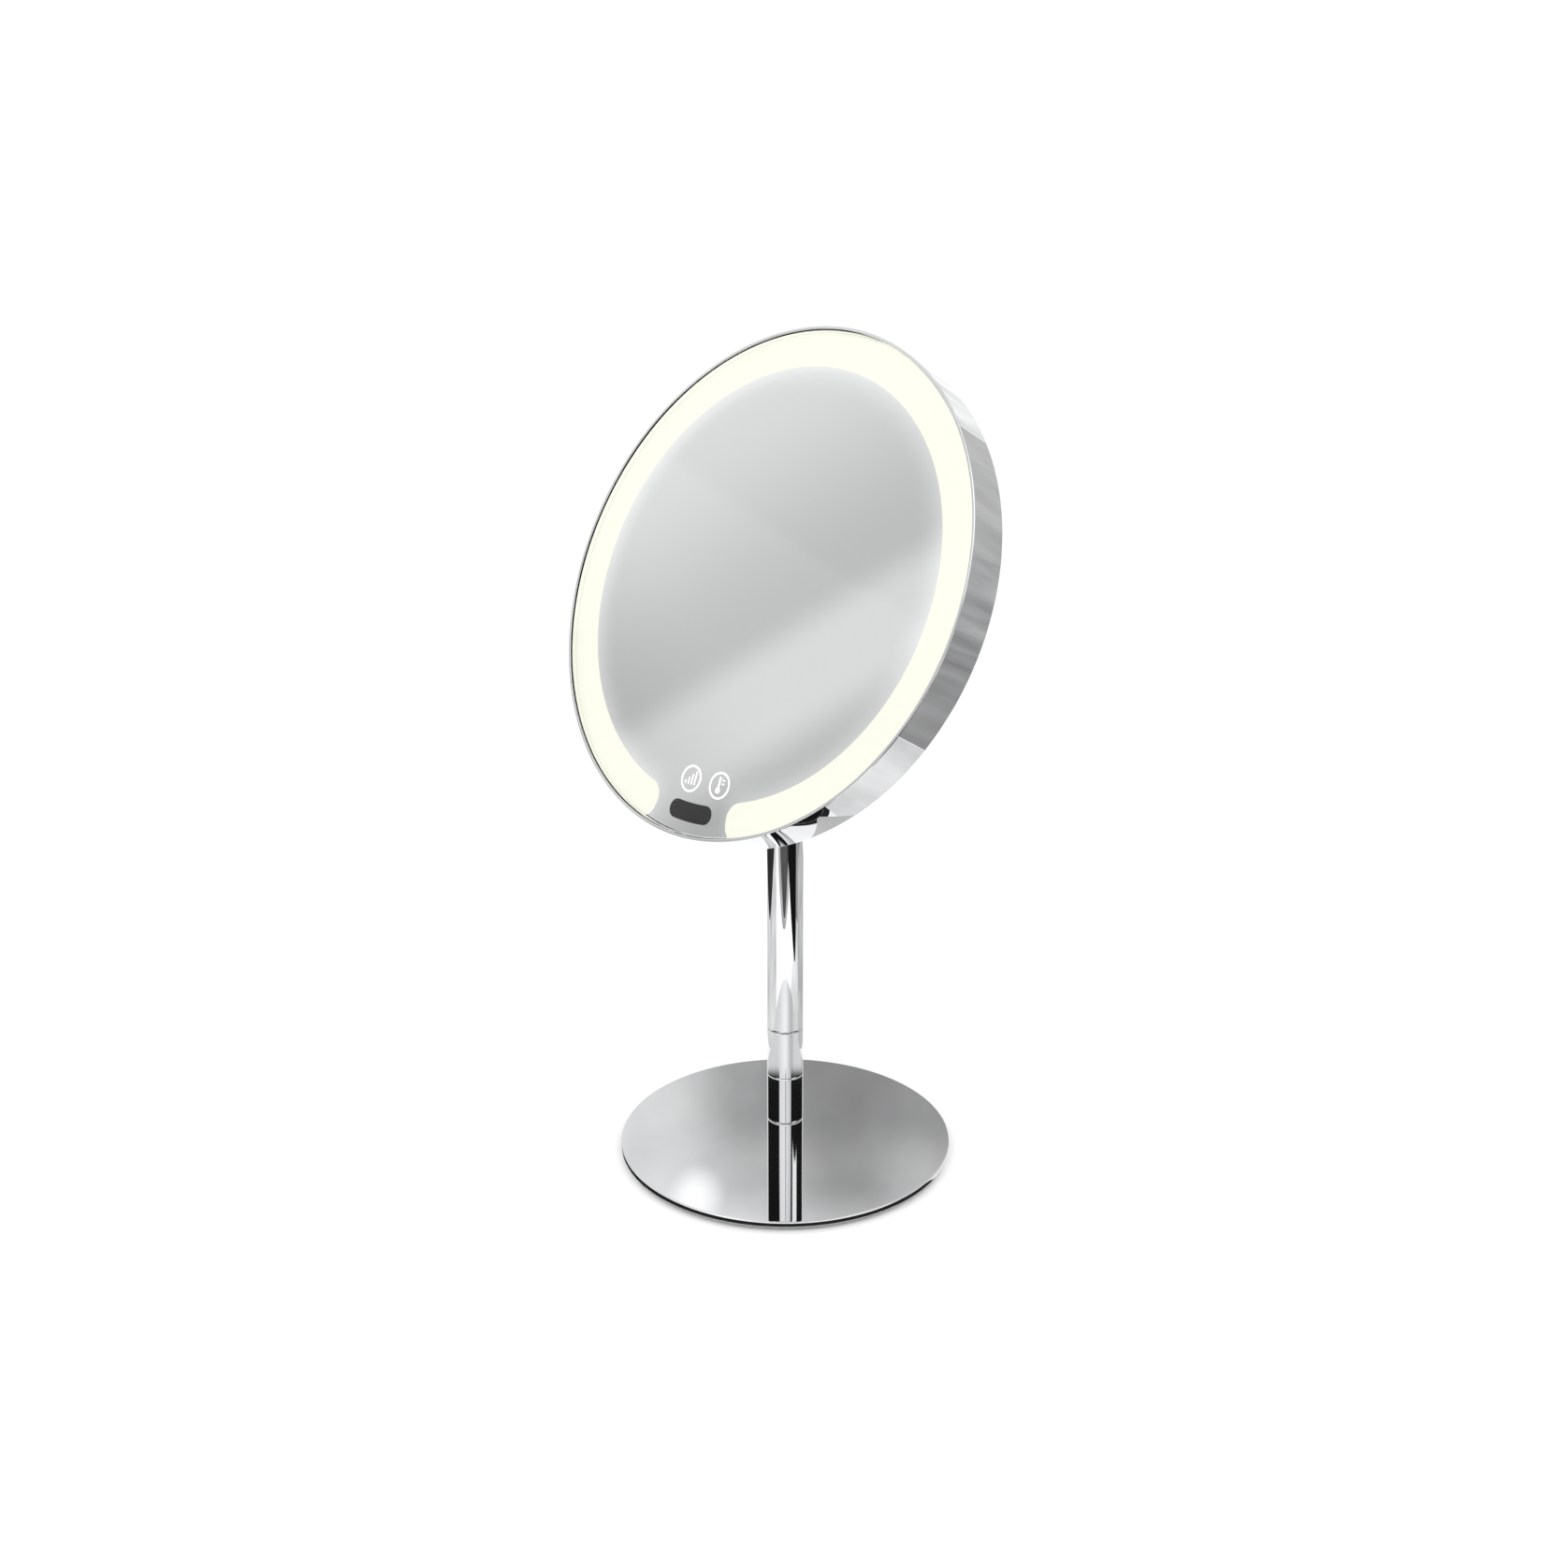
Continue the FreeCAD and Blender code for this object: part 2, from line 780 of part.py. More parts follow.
def build_cover():
    cover = turned_piece(
        "back_cover",
        HEAD_FRAME,
        [
            ("0", "cover_wall-cover_back"),
            ("86", "cover_wall-cover_back"),
            ("96", "cover_wall-cover_back+1.6"),
            ("102", "cover_wall-cover_back+1.6"),
            ("102", "0-tray_back-0.05"),
            ("glass_radius", "0-tray_back-0.05"),
            ("glass_radius", "0-ring_depth-0.05"),
            ("cover_radius", "0-ring_depth-0.05"),
            ("cover_radius", "0-ring_depth-0.55"),
            ("cover_radius-0.7", "0-ring_depth-1.3"),
            ("88", "0-cover_back"),
            ("0", "0-cover_back"),
        ],
    )
    inside = "cover_wall-cover_back"
    port_posts = [(f"port_x+({side})*port_post", "port_y", "1.4") for side in (-1, 1)]
    pad(cover, "port_posts", f"{inside}-0.4", "6.3", circles=port_posts)
    middle = "switch_x-switch_travel/2"
    switch_posts = [(f"{middle}+({side})*switch_post", "switch_y", "1.2") for side in (-1, 1)]
    pad(cover, "switch_posts", f"{inside}-0.4", "2", circles=switch_posts)
    level, through = "1-ring_depth", "6"
    screws = [(*polar("boss_reach", a), "cover_hole") for a in cover_spots()]
    pocket(cover, "screw_holes", level, through, circles=screws)
    seats = [(*polar("boss_reach", a), "3") for a in cover_spots()]
    pocket(cover, "screw_seats", "0-cover_back+0.9", "3", circles=seats)
    bolts = [(f"{x}", f"{y}-pivot_below", "1.6") for x, y in bracket_spots()]
    pocket(cover, "bracket_holes", level, through, circles=bolts)
    port = rectangle("port_x", "port_y", "port_long+0.4", "port_wide+0.4")
    pocket(cover, "port_opening", level, through, polygon=port)
    slot = rectangle(
        "switch_x-switch_travel/2",
        "switch_y",
        "slider_long+switch_travel+2*slot_clearance",
        "slider_wide+2*slot_clearance",
    )
    pocket(cover, "switch_slot", level, through, polygon=slot)
    screws = []
    for i, angle in enumerate(cover_spots()):
        spot = polar("boss_reach", angle)
        shank = cylinder(f"cover_shank_{i}", "1.25", "9", *spot, "0-cover_back+0.8")
        head = cylinder(f"cover_head_{i}", "2.7", "0.8", *spot, "0-cover_back+0.1")
        screws.append(fuse(f"cover_screw_{i}", shank, head))
    group("cover_screws", HEAD_FRAME, screws)


def build_tray():
    tray = turned_piece(
        "inner_tray",
        HEAD_FRAME,
        [
            ("0", "0-deck_front"),
            ("diffuser_inner-0.2", "0-deck_front"),
            ("diffuser_inner-0.2", "0-diffuser_front-diffuser_thickness-0.05"),
            ("89", "0-diffuser_front-diffuser_thickness-0.05"),
            ("89", "0-channel_floor"),
            ("101", "0-channel_floor"),
            ("101", "0-diffuser_front-diffuser_thickness-0.05"),
            ("ledge_radius-0.1", "0-diffuser_front-diffuser_thickness-0.05"),
            ("ledge_radius-0.1", "0-ledge_back-0.05"),
            ("tray_radius", "0-ledge_back-0.05"),
            ("tray_radius", "0-tray_back"),
            ("86.1", "0-tray_back"),
            ("86.1", "0-deck_front-deck_thickness"),
            ("0", "0-deck_front-deck_thickness"),
        ],
    )
    posts = [(*polar("boss_reach", a), "boss_radius") for a in cover_spots()]
    pad(
        tray,
        "cover_posts",
        "0-cover_back+cover_wall",
        "cover_back-cover_wall-deck_front-deck_thickness+0.5",
        circles=posts,
    )
    pilots = [(*polar("boss_reach", a), "boss_pilot") for a in cover_spots()]
    pocket(tray, "pilot_holes", "0-cover_back+cover_wall+10", "12", circles=pilots)
    half, low, high = "board_pocket_half", "0-board_pocket_low", "0-board_pocket_high"
    corners = [(f"0-{half}", low), (half, low), (half, high), (f"0-{half}", high)]
    pocket(tray, "sensor_pocket", "0-deck_front+1", "board_pocket_floor-deck_front+1", polygon=corners)
    wire_hole = [("wire_hole_x", "wire_hole_y", "2.4")]
    pocket(tray, "wire_hole", "0-channel_floor+1", "4", circles=wire_hole)


def board_spots():
    """Corners of the main board where its screws go."""
    across = number("board_hole_x")
    ends = -number("board_hole_top"), -number("board_hole_bottom")
    return [(x, y) for x in (-across, across) for y in ends]


# ---------------------------------------------------------------- glass, silvering and marks


def build_glass():
    glass = turned_piece(
        "mirror_glass",
        HEAD_FRAME,
        [
            ("0", "0-glass_front-glass_thickness"),
            ("glass_radius", "0-glass_front-glass_thickness"),
            ("glass_radius", "0-glass_front"),
            ("0", "0-glass_front"),
        ],
    )
    front = -number("glass_front")
    round_edges(glass, "arris", "glass_edge", lambda e, m: abs(m.z - front) < NEAR, "Chamfer")


def band_body(label, frame, radii, gap, depths, rounds):
    """A C-shaped band that is open at the bottom, with rounded ends."""
    body = new_body(label, frame)
    (inner, outer), (front, back) = radii, depths
    profile = [(inner, back), (outer, back), (outer, front), (inner, front)]
    revolve(body, "sweep", profile, "YZ_Plane", f"360-{gap}")
    for name, radius, size in (("inner_ends", inner, rounds[0]), ("outer_ends", outer, rounds[1])):
        there = number(radius)
        round_edges(body, name, size, lambda e, m: upright(e) and abs(reach(m) - there) < NEAR_ENOUGH)
    return body


def window_body(label, frame, front, back):
    """The curved slot in front of the proximity sensor."""
    body = new_body(label, frame)
    inner, outer = "0-window_inner", "0-window_outer"
    profile = [(outer, back), (inner, back), (inner, front), (outer, front)]
    revolve(body, "sweep", profile, "YZ_Plane", "window_angle")
    round_edges(body, "ends", "window_round", lambda e, m: upright(e))
    return body


def icon_ring(name, x, y, low, high):
    disc = cylinder(name + "_disc", "icon_radius", high, x, y, low)
    hole = cylinder(name + "_hole", "icon_radius-icon_line", f"({high})+2", x, y, f"({low})-1")
    return cut(name, disc, hole)


def brightness_marks(name, low, high):
    """A ring round four bars of rising height."""
    x, y = "brightness_x", "icon_row"
    marks = [icon_ring(name + "_ring", x, y, low, high)]
    for i in range(int(number("bar_count"))):
        tall = round(number("bar_rise") * (i + 1), 2)
        bar = f"{x}-2.7+1.7*{i}", f"{y}-2.3+{tall}/2"
        marks.append(box(f"{name}_bar_{i}", "bar_width", tall, high, *bar, low))
    return marks


def temperature_marks(name, low, high):
    """A ring round a thermometer with two scale ticks."""
    x, y = "temperature_x", "icon_row"
    bulb = cylinder(name + "_bulb", "1.25", high, f"{x}-0.3", f"{y}-2", low)
    column = box(name + "_column", "1", "5", high, f"{x}-0.3", f"{y}+0.5", low)
    cap = cylinder(name + "_cap", "0.5", high, f"{x}-0.3", f"{y}+3", low)
    marks = [icon_ring(name + "_ring", x, y, low, high), fuse(name + "_stick", bulb, column, cap)]
    for i in range(2):
        marks.append(box(f"{name}_tick_{i}", "1.3", "0.5", high, f"{x}+1.7", f"{y}+0.8+1.5*{i}", low))
    return marks


def build_face():
    back_of_glass = "0-glass_front-glass_thickness"
    low, high = f"{back_of_glass}-silver_thickness", "silver_thickness"
    group("brightness_icon", HEAD_FRAME, brightness_marks("brightness", low, high))
    group("temperature_icon", HEAD_FRAME, temperature_marks("temperature", low, high))
    window_body("sensor_window", HEAD_FRAME, back_of_glass, f"{back_of_glass}-window_thickness")
    # the silvering is a whole disc with the band, window and marks etched out of it
    over, under = f"{back_of_glass}+1", f"{back_of_glass}-1"
    disc = cylinder("silver_disc", "silver_radius", "silver_thickness", "0", "0", low)
    band = band_body(
        "band_opening",
        BASE_FRAME,
        ("band_inner", "silver_radius+1"),
        "band_gap_angle",
        (over, under),
        ("band_inner_round", "band_outer_round"),
    )
    window = window_body("window_opening", BASE_FRAME, over, under)
    for opening in (band, window):
        pieces.remove(opening)
    tall = "silver_thickness+2"
    etched = [
        *brightness_marks("etched_brightness", f"({low})-1", tall),
        *temperature_marks("etched_temperature", f"({low})-1", tall),
    ]
    silver = cut("silver_coating", disc, fuse("silver_openings", band, window, *etched))
    finish_piece(silver, "silver_coating", HEAD_FRAME)
    band_body(
        "light_diffuser",
        HEAD_FRAME,
        ("diffuser_inner", "diffuser_radius"),
        "diffuser_gap_angle",
        ("0-diffuser_front", "0-diffuser_front-diffuser_thickness"),
        ("diffuser_round", "diffuser_round"),
    )
    rings = []
    for i, (inner, outer) in enumerate((("0", "14"), ("52", "64"))):
        disc = cylinder(f"tape_disc_{i}", outer, f"deck_front+({low})", "0", "0", "0-deck_front")
        if inner != "0":
            hole = cylinder(f"tape_hole_{i}", inner, "4", "0", "0", "0-deck_front-1")
            disc = cut(f"tape_ring_{i}", disc, hole)
        rings.append(disc)
    group("mirror_tape", HEAD_FRAME, rings)


# ---------------------------------------------------------------- lights and electronics


def build_lights():
    turned_piece(
        "led_board",
        HEAD_FRAME,
        [
            ("led_board_inner", "0-channel_floor"),
            ("led_board_outer", "0-channel_floor"),
            ("led_board_outer", "led_board_thickness-channel_floor"),
            ("led_board_inner", "led_board_thickness-channel_floor"),
        ],
    )
    pairs = int(number("led_pairs"))
    lit = FULL_TURN - number("band_gap_angle") - number("led_end_margin")
    step = lit / (2 * pairs - 1)
    start = STRAIGHT_DOWN + (FULL_TURN - lit) / 2
    chips = {"warm_leds": [], "cool_leds": []}
    for i in range(2 * pairs):
        label = "cool_leds" if i % 2 else "warm_leds"
        angle = round(start + step * i, 4)
        chip = box(
            f"{label}_{i}",
            "led_wide",
            "led_long",
            "led_high",
            *polar("led_reach", angle),
            "led_board_thickness-channel_floor",
            angle,
        )
        chips[label].append(chip)
    for label, made in chips.items():
        group(label, HEAD_FRAME, made)


def build_sensing():
    """Touch and proximity board behind the gap in the band."""
    low = "0-board_pocket_floor+0.1"
    board = new_body("sensor_board", HEAD_FRAME)
    outline = rectangle("0", "0-(board_pocket_low+board_pocket_high)/2", "2*board_pocket_half-3", "26")
    pad(board, "plate", low, "board_thickness", polygon=outline)
    top = low + "+board_thickness"
    gap_under_glass = f"0-glass_front-glass_thickness-silver_thickness-0.05-({top})"
    pads = [
        cylinder(f"touch_pad_{i}", "4", gap_under_glass, x, "icon_row", top)
        for i, x in enumerate(("brightness_x", "temperature_x"))
    ]
    group("touch_pads", HEAD_FRAME, pads)
    eyes = []
    for i, x in enumerate(("0-6.5", "6.5")):
        y = "0-(window_inner+window_outer)/2"
        case = box(f"eye_case_{i}", "5", "4", "1.6", x, y, top)
        dome = cylinder(f"eye_dome_{i}", "1.5", "2.3", x, y, top)
        eyes.append(fuse(f"eye_{i}", case, dome))
    group("proximity_eyes", HEAD_FRAME, eyes)


def build_power():
    inside = "cover_wall-cover_back"
    deck_back = "0-deck_front-deck_thickness"
    cell = new_body("battery_cell", HEAD_FRAME)
    cell_low = f"{deck_back}-0.8-battery_high"
    pouch = rectangle("0", "38", "battery_long", "battery_wide")
    pad(cell, "pouch", cell_low, "battery_high", polygon=pouch)
    round_edges(cell, "corner_round", "2", lambda e, m: upright(e))
    tape = new_body("battery_tape", HEAD_FRAME)
    strip = rectangle("0", "38", "battery_long-6", "battery_wide-8")
    pad(tape, "strip", f"{deck_back}-0.8", "0.8", polygon=strip)

    # the main board stands off the deck on four spacers, beside the port and the switch
    board = new_body("main_board", HEAD_FRAME)
    board_low = f"{deck_back}-3-board_thickness"
    outline = rectangle("0", "0-13", "main_board_long", "main_board_wide")
    pad(board, "plate", board_low, "board_thickness", polygon=outline)
    holes = [(f"{x}", f"{y}", "1.1") for x, y in board_spots()]
    pocket(board, "holes", deck_back, "6", circles=holes)
    chips = [
        box("driver_chip", "8", "8", "1.4", "0-8", "0-12", f"{board_low}-1.4"),
        box("charge_chip", "5", "5", "1.2", "10", "0-8", f"{board_low}-1.2"),
        box("light_coil", "7", "7", "3.2", "12", "0-18", f"{board_low}-3.2"),
        box("battery_socket", "8", "5", "4.5", "0-16", "0-3.5", f"{board_low}-4.5"),
        box("light_socket", "8", "5", "4.5", "0-16", "0-22.5", f"{board_low}-4.5"),
    ]
    group("board_components", HEAD_FRAME, chips)
    spacers, screws = [], []
    for i, (x, y) in enumerate(board_spots()):
        post = cylinder(f"spacer_post_{i}", "2.4", "3", f"{x}", f"{y}", f"{deck_back}-3")
        hole = cylinder(f"spacer_hole_{i}", "1", "5", f"{x}", f"{y}", f"{deck_back}-4")
        spacers.append(cut(f"spacer_{i}", post, hole))
        shank = cylinder(f"board_shank_{i}", "1", "4", f"{x}", f"{y}", board_low)
        head = cylinder(f"board_head_{i}", "2", "1.2", f"{x}", f"{y}", f"{board_low}-1.2")
        screws.append(fuse(f"board_screw_{i}", shank, head))
    group("board_spacers", HEAD_FRAME, spacers)
    group("board_screws", HEAD_FRAME, screws)

    # charging socket: a steel shell with an open mouth, round a plastic tongue
    mouth = "0-cover_back+0.2"
    shell = new_body("usb_port", HEAD_FRAME)
    outline = rectangle("port_x", "port_y", "port_long", "port_wide")
    pad(shell, "shell", mouth, "7.5", polygon=outline)
    round_edges(shell, "corner_round", "1.2", lambda e, m: upright(e))
    hollow = rectangle("port_x", "port_y", "port_long-0.7", "port_wide-0.7")
    pocket(shell, "mouth", f"{mouth}+6.3", "8", polygon=hollow)
    tongue = new_body("usb_tongue", HEAD_FRAME)
    blade = rectangle("port_x", "port_y", "6.6", "0.7")
    pad(tongue, "blade", f"{mouth}+1", "5.3", polygon=blade)
    carrier = new_body("port_board", HEAD_FRAME)
    outline = rectangle("port_x", "port_y", "20", "14")
    pad(carrier, "plate", f"{mouth}+7.5", "board_thickness", polygon=outline)

    # slide switch: a case inside the cover, and a slider that sticks out of the slot
    middle = "switch_x-switch_travel/2"
    case = new_body("switch_case", HEAD_FRAME)
    case_low = f"{inside}+1.6"
    pad(case, "block", case_low, "4", polygon=rectangle(middle, "switch_y", "16", "8"))
    slider = new_body("power_slider", HEAD_FRAME)
    foot = rectangle("switch_x", "switch_y", "slider_long+2", "slider_wide+2")
    pad(slider, "foot", f"{inside}+0.2", "1.1", polygon=foot)
    thumb = rectangle("switch_x", "switch_y", "slider_long", "slider_wide")
    pad(slider, "thumb", "0-cover_back-1.2", "cover_wall+1.6", polygon=thumb)


def swept_wire(name, points, bend):
    """A round wire along straight runs that are joined by tangent arcs of radius bend."""
    spots = [FreeCAD.Vector(*p) for p in points]
    edges, start = [], spots[0]
    for before, corner, after in zip(spots, spots[1:], spots[2:]):
        towards, away = (before - corner).normalize(), (after - corner).normalize()
        half = towards.getAngle(away) / 2
        back = bend / math.tan(half)
        entry, leave = corner + towards * back, corner + away * back
        centre = corner + (towards + away).normalize() * (bend / math.sin(half))
        middle = centre + (corner - centre).normalize() * bend
        edges.append(Part.LineSegment(start, entry).toShape())
        edges.append(Part.Arc(entry, middle, leave).toShape())
        start = leave
    edges.append(Part.LineSegment(start, spots[-1]).toShape())
    spine = Part.Wire(edges)
    radius = number("wire_radius")
    circle = Part.Circle(spots[0], spots[1] - spots[0], radius).toShape()
    tube = spine.makePipeShell([Part.Wire(circle)], True, False)
    expected = math.pi * radius**2 * spine.Length
    if abs(tube.Volume / expected - 1) > VOLUME_SLACK:
        raise RuntimeError(f"{name}: the wire's volume is {tube.Volume:.2f}, not {expected:.2f}")
    return tube


def build_ribbon():
    """Flat cable that joins the underside of the sensor board to the main board."""
    sensor = "0-board_pocket_floor+0.1"
    main = "0-deck_front-deck_thickness-3-board_thickness"
    ribbon = new_body("sensor_ribbon", HEAD_FRAME)
    sketch = new_sketch(ribbon, "outline", "YZ_Plane")
    stations = [("0-74", sensor), ("0-70", sensor), ("0-31", main), ("0-27", main)]
    lower = [(y, f"{z}-0.3") for y, z in stations]
    upper = stations[::-1]
    draw_polygon(sketch, lower + upper)
    flat = ribbon.newObject("PartDesign::Pad", "sensor_ribbon_flat")
    flat.Profile = sketch
    flat.Midplane = True
    flat.setExpression("Length", bound("ribbon_width"))
    doc.recompute()


def build_wires():
    """Two-core leads between the boards, the battery and the lights, each along its own route."""
    board_back = number("0-deck_front-deck_thickness-3-board_thickness")
    socket = board_back - 3
    under_board = board_back - number("wire_radius") - number("wire_clearance")
    port = number("0.2-cover_back+7.5+board_thickness+wire_radius")
    switch = number("cover_wall-cover_back+1.6+4")
    channel = -number("channel_floor")
    hole = number("wire_hole_x"), number("wire_hole_y")
    across, along = (1, 0), (0, 1)
    build_lead(
        "battery_wires",
        across,
        3,
        [(-16, -1, socket), (-16, 4, socket), (-18, 8, socket), (-16, 12, socket), (-16, 16, socket)],
    )
    build_lead(
        "led_wires",
        along,
        2,
        [(-20, -22.5, socket), (-50, -22.5, socket), (*hole, socket), (*hole, channel)],
    )
    build_lead(
        "port_wires",
        across,
        2,
        [(37, -43, port), (37, -39, port), (29, -31, port), (29, -28.1, port)],
    )
    build_lead(
        "switch_wires",
        across,
        1.5,
        [(-45.5, -44, switch), (-45.5, -44, under_board), (-29.5, -14, under_board)],
    )


def build_lead(label, sideways, bend, points):
    """Two wires side by side, each the same route moved sideways."""
    cores = []
    for offset in (-1, 1):
        shifted = [(x + offset * sideways[0], y + offset * sideways[1], z) for x, y, z in points]
        cores.append(swept_wire(label, shifted, bend))
    lead = doc.addObject("Part::Feature", label)
    lead.Shape = Part.makeCompound(cores)
    finish_piece(lead, label, HEAD_FRAME)


# ---------------------------------------------------------------- build, test and export

build_foot()
build_foot_fixing()
build_lower_stem()
build_upper_stem()
build_hinge()
build_bracket_fixings()
build_ring()
build_cover()
build_tray()
build_glass()
build_face()
build_lights()
build_sensing()
build_power()
build_ribbon()
build_wires()
doc.recompute()

for item in doc.Objects:
    if "Invalid" in item.State or "Error" in item.State:
        raise RuntimeError(f"{item.Label} failed: {item.State}")
os.makedirs("parts", exist_ok=True)
for piece in pieces:
    if piece.Shape.isNull() or not piece.Shape.isValid():
        raise RuntimeError(f"{piece.Label} has no valid shape")
    piece.Shape.exportStep(f"parts/{piece.Label}.step")
    print(f"{piece.Label}: {len(piece.Shape.Solids)} solids, {piece.Shape.Volume:.1f} mm3")
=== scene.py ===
# %% [markdown]
# # A lighted vanity mirror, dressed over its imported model
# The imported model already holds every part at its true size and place. This script gives each
# part its finish, and swaps the parts whose polish shows every facet for finer meshes.

# %% Load the frame
import json
import math

import bmesh
import bpy
from mathutils import Matrix, Vector

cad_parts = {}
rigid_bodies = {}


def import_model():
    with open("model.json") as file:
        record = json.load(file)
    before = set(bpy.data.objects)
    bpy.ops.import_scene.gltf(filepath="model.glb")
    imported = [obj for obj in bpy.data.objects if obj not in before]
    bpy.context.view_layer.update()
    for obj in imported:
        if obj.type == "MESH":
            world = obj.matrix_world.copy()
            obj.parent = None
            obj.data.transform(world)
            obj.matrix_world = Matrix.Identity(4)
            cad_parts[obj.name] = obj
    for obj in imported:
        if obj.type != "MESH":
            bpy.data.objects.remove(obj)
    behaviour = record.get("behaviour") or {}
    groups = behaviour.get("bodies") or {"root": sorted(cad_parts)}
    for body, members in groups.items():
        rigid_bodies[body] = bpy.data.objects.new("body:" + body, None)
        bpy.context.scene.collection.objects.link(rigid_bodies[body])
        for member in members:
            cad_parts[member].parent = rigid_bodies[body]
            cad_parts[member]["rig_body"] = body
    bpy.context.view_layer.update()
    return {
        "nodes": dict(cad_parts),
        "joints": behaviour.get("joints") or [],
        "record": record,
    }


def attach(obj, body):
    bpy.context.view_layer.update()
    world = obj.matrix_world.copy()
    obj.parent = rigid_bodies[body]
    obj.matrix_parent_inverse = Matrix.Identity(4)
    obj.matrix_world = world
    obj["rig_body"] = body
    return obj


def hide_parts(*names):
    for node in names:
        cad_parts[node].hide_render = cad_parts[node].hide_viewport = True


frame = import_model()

nodes = frame["nodes"]
MM = 0.001

# %% [markdown]
# ## Where the head is
# The head is turned and tilted, so work on it is easier in its own frame: X to the right of the
# glass, Y up it, and Z out of it. One matrix takes that frame to the world. Materials that follow
# the face use the same numbers in a Mapping node.

# %% The head's own frame
HEAD_TURN = math.radians(43.74)
HEAD_TILT = math.radians(22.35)
HINGE_BELOW = 25.3 * MM
HINGE_BEHIND = 33.5 * MM
tilt_joint = next(j for j in frame["joints"] if j["name"] == "head_tilt")
hinge = Vector(tilt_joint["pos_m"])
head_angles = (math.radians(90) - HEAD_TILT, 0.0, -HEAD_TURN)
head_turned = Matrix.Rotation(head_angles[2], 4, "Z") @ Matrix.Rotation(head_angles[0], 4, "X")
face_centre = hinge - head_turned @ Vector((0, -HINGE_BELOW, -HINGE_BEHIND))
HEAD = Matrix.Translation(face_centre) @ head_turned
print("face centre, mm:", [round(v / MM, 1) for v in face_centre])

# %% [markdown]
# ## Camera first
# The camera looks slightly down at the mirror from the front, close enough for the foot to open
# into a broad ellipse. Its lens is a mild wide angle.

# %% Camera
CAMERA_SPOT = (-0.0005, -0.5178, 0.2887)
CAMERA_DROP = math.radians(14.9)
LENS_MM = 32.22
camera_data = bpy.data.cameras.new("camera")
camera_data.sensor_width = 36.0
camera_data.lens = LENS_MM
camera_data.clip_start = 0.01
camera = bpy.data.objects.new("camera", camera_data)
camera.location = CAMERA_SPOT
camera.rotation_euler = (math.radians(90) - CAMERA_DROP, 0, 0)
bpy.context.scene.collection.objects.link(camera)
bpy.context.scene.camera = camera
bpy.context.scene.view_settings.view_transform = "Standard"


# %% [markdown]
# ## Small helpers for node trees
# A finish is a Principled shader with a few nodes that vary it. These helpers make a node and
# wire it in one line, so that a material reads like a recipe.


# %% Node helpers
def node(tree, kind, values=None, **settings):
    """A new node, with its settings and the values of its input sockets."""
    made = tree.nodes.new(kind)
    for key, value in settings.items():
        setattr(made, key, value)
    for key, value in (values or {}).items():
        made.inputs[key].default_value = value
    return made


def new_material(name, base, roughness, metallic=0.0, **sockets):
    """A material with one Principled shader. Returns it with its tree and shader."""
    made = bpy.data.materials.new(name)
    made.use_nodes = True
    tree = made.node_tree
    shader = next(n for n in tree.nodes if n.type == "BSDF_PRINCIPLED")
    shader.inputs["Base Color"].default_value = (*base, 1.0)
    shader.inputs["Roughness"].default_value = roughness
    shader.inputs["Metallic"].default_value = metallic
    for key, value in sockets.items():
        shader.inputs[key.replace("_", " ")].default_value = value
    return made, tree, shader


def noise(tree, scale, detail=3.0, stretch=(1, 1, 1)):
    """Noise on Object coordinates, stretched if asked."""
    place = node(tree, "ShaderNodeTexCoord")
    mapped = node(tree, "ShaderNodeMapping", {"Scale": stretch})
    pattern = node(tree, "ShaderNodeTexNoise", {"Scale": scale, "Detail": detail})
    tree.links.new(place.outputs["Object"], mapped.inputs["Vector"])
    tree.links.new(mapped.outputs["Vector"], pattern.inputs["Vector"])
    return pattern.outputs["Fac"]


def spread(tree, source, low, high):
    """Maps noise, which stays near 0.5, onto low to high."""
    mapped = node(tree, "ShaderNodeMapRange")
    for key, value in (("From Min", 0.3), ("From Max", 0.7), ("To Min", low), ("To Max", high)):
        mapped.inputs[key].default_value = value
    tree.links.new(source, mapped.inputs["Value"])
    return mapped.outputs["Result"]


def tint(tree, source, dark, light):
    """A colour between dark and light that follows the source."""
    ramp = node(tree, "ShaderNodeValToRGB")
    ramp.color_ramp.elements[0].color = (*dark, 1.0)
    ramp.color_ramp.elements[1].color = (*light, 1.0)
    ramp.color_ramp.elements[0].position = 0.3
    ramp.color_ramp.elements[1].position = 0.7
    tree.links.new(source, ramp.inputs["Fac"])
    return ramp.outputs["Color"]


def bump(tree, shader, source, strength, distance):
    """Relief on the shader's normal."""
    relief = node(tree, "ShaderNodeBump", {"Strength": strength, "Distance": distance})
    tree.links.new(source, relief.inputs["Height"])
    tree.links.new(relief.outputs["Normal"], shader.inputs["Normal"])


# %% [markdown]
# ## Finishes
# Polished chrome is nearly a perfect mirror. What makes it read as metal is a faint film that
# blurs it unevenly, and a very low swell left by the polishing wheel.


# %% Metals
def polished_chrome():
    made, tree, shader = new_material("polished_chrome", (0.86, 0.87, 0.88), 0.04, 1.0)
    film = noise(tree, 22.0, 4.0)
    tree.links.new(spread(tree, film, 0.008, 0.03), shader.inputs["Roughness"])
    tree.links.new(tint(tree, film, (0.84, 0.85, 0.86), (0.9, 0.905, 0.91)), shader.inputs["Base Color"])
    bump(tree, shader, noise(tree, 9.0, 1.0), 0.05, 0.0006)
    return made


def brushed_metal(name, dark, light, roughness):
    """Sheet or turned metal with fine lines along one direction."""
    made, tree, shader = new_material(name, light, roughness, 1.0)
    grain = noise(tree, 260.0, 4.0, (1, 9, 9))
    tree.links.new(tint(tree, grain, dark, light), shader.inputs["Base Color"])
    tree.links.new(spread(tree, grain, roughness - 0.08, roughness + 0.1), shader.inputs["Roughness"])
    bump(tree, shader, grain, 0.12, 0.0001)
    return made


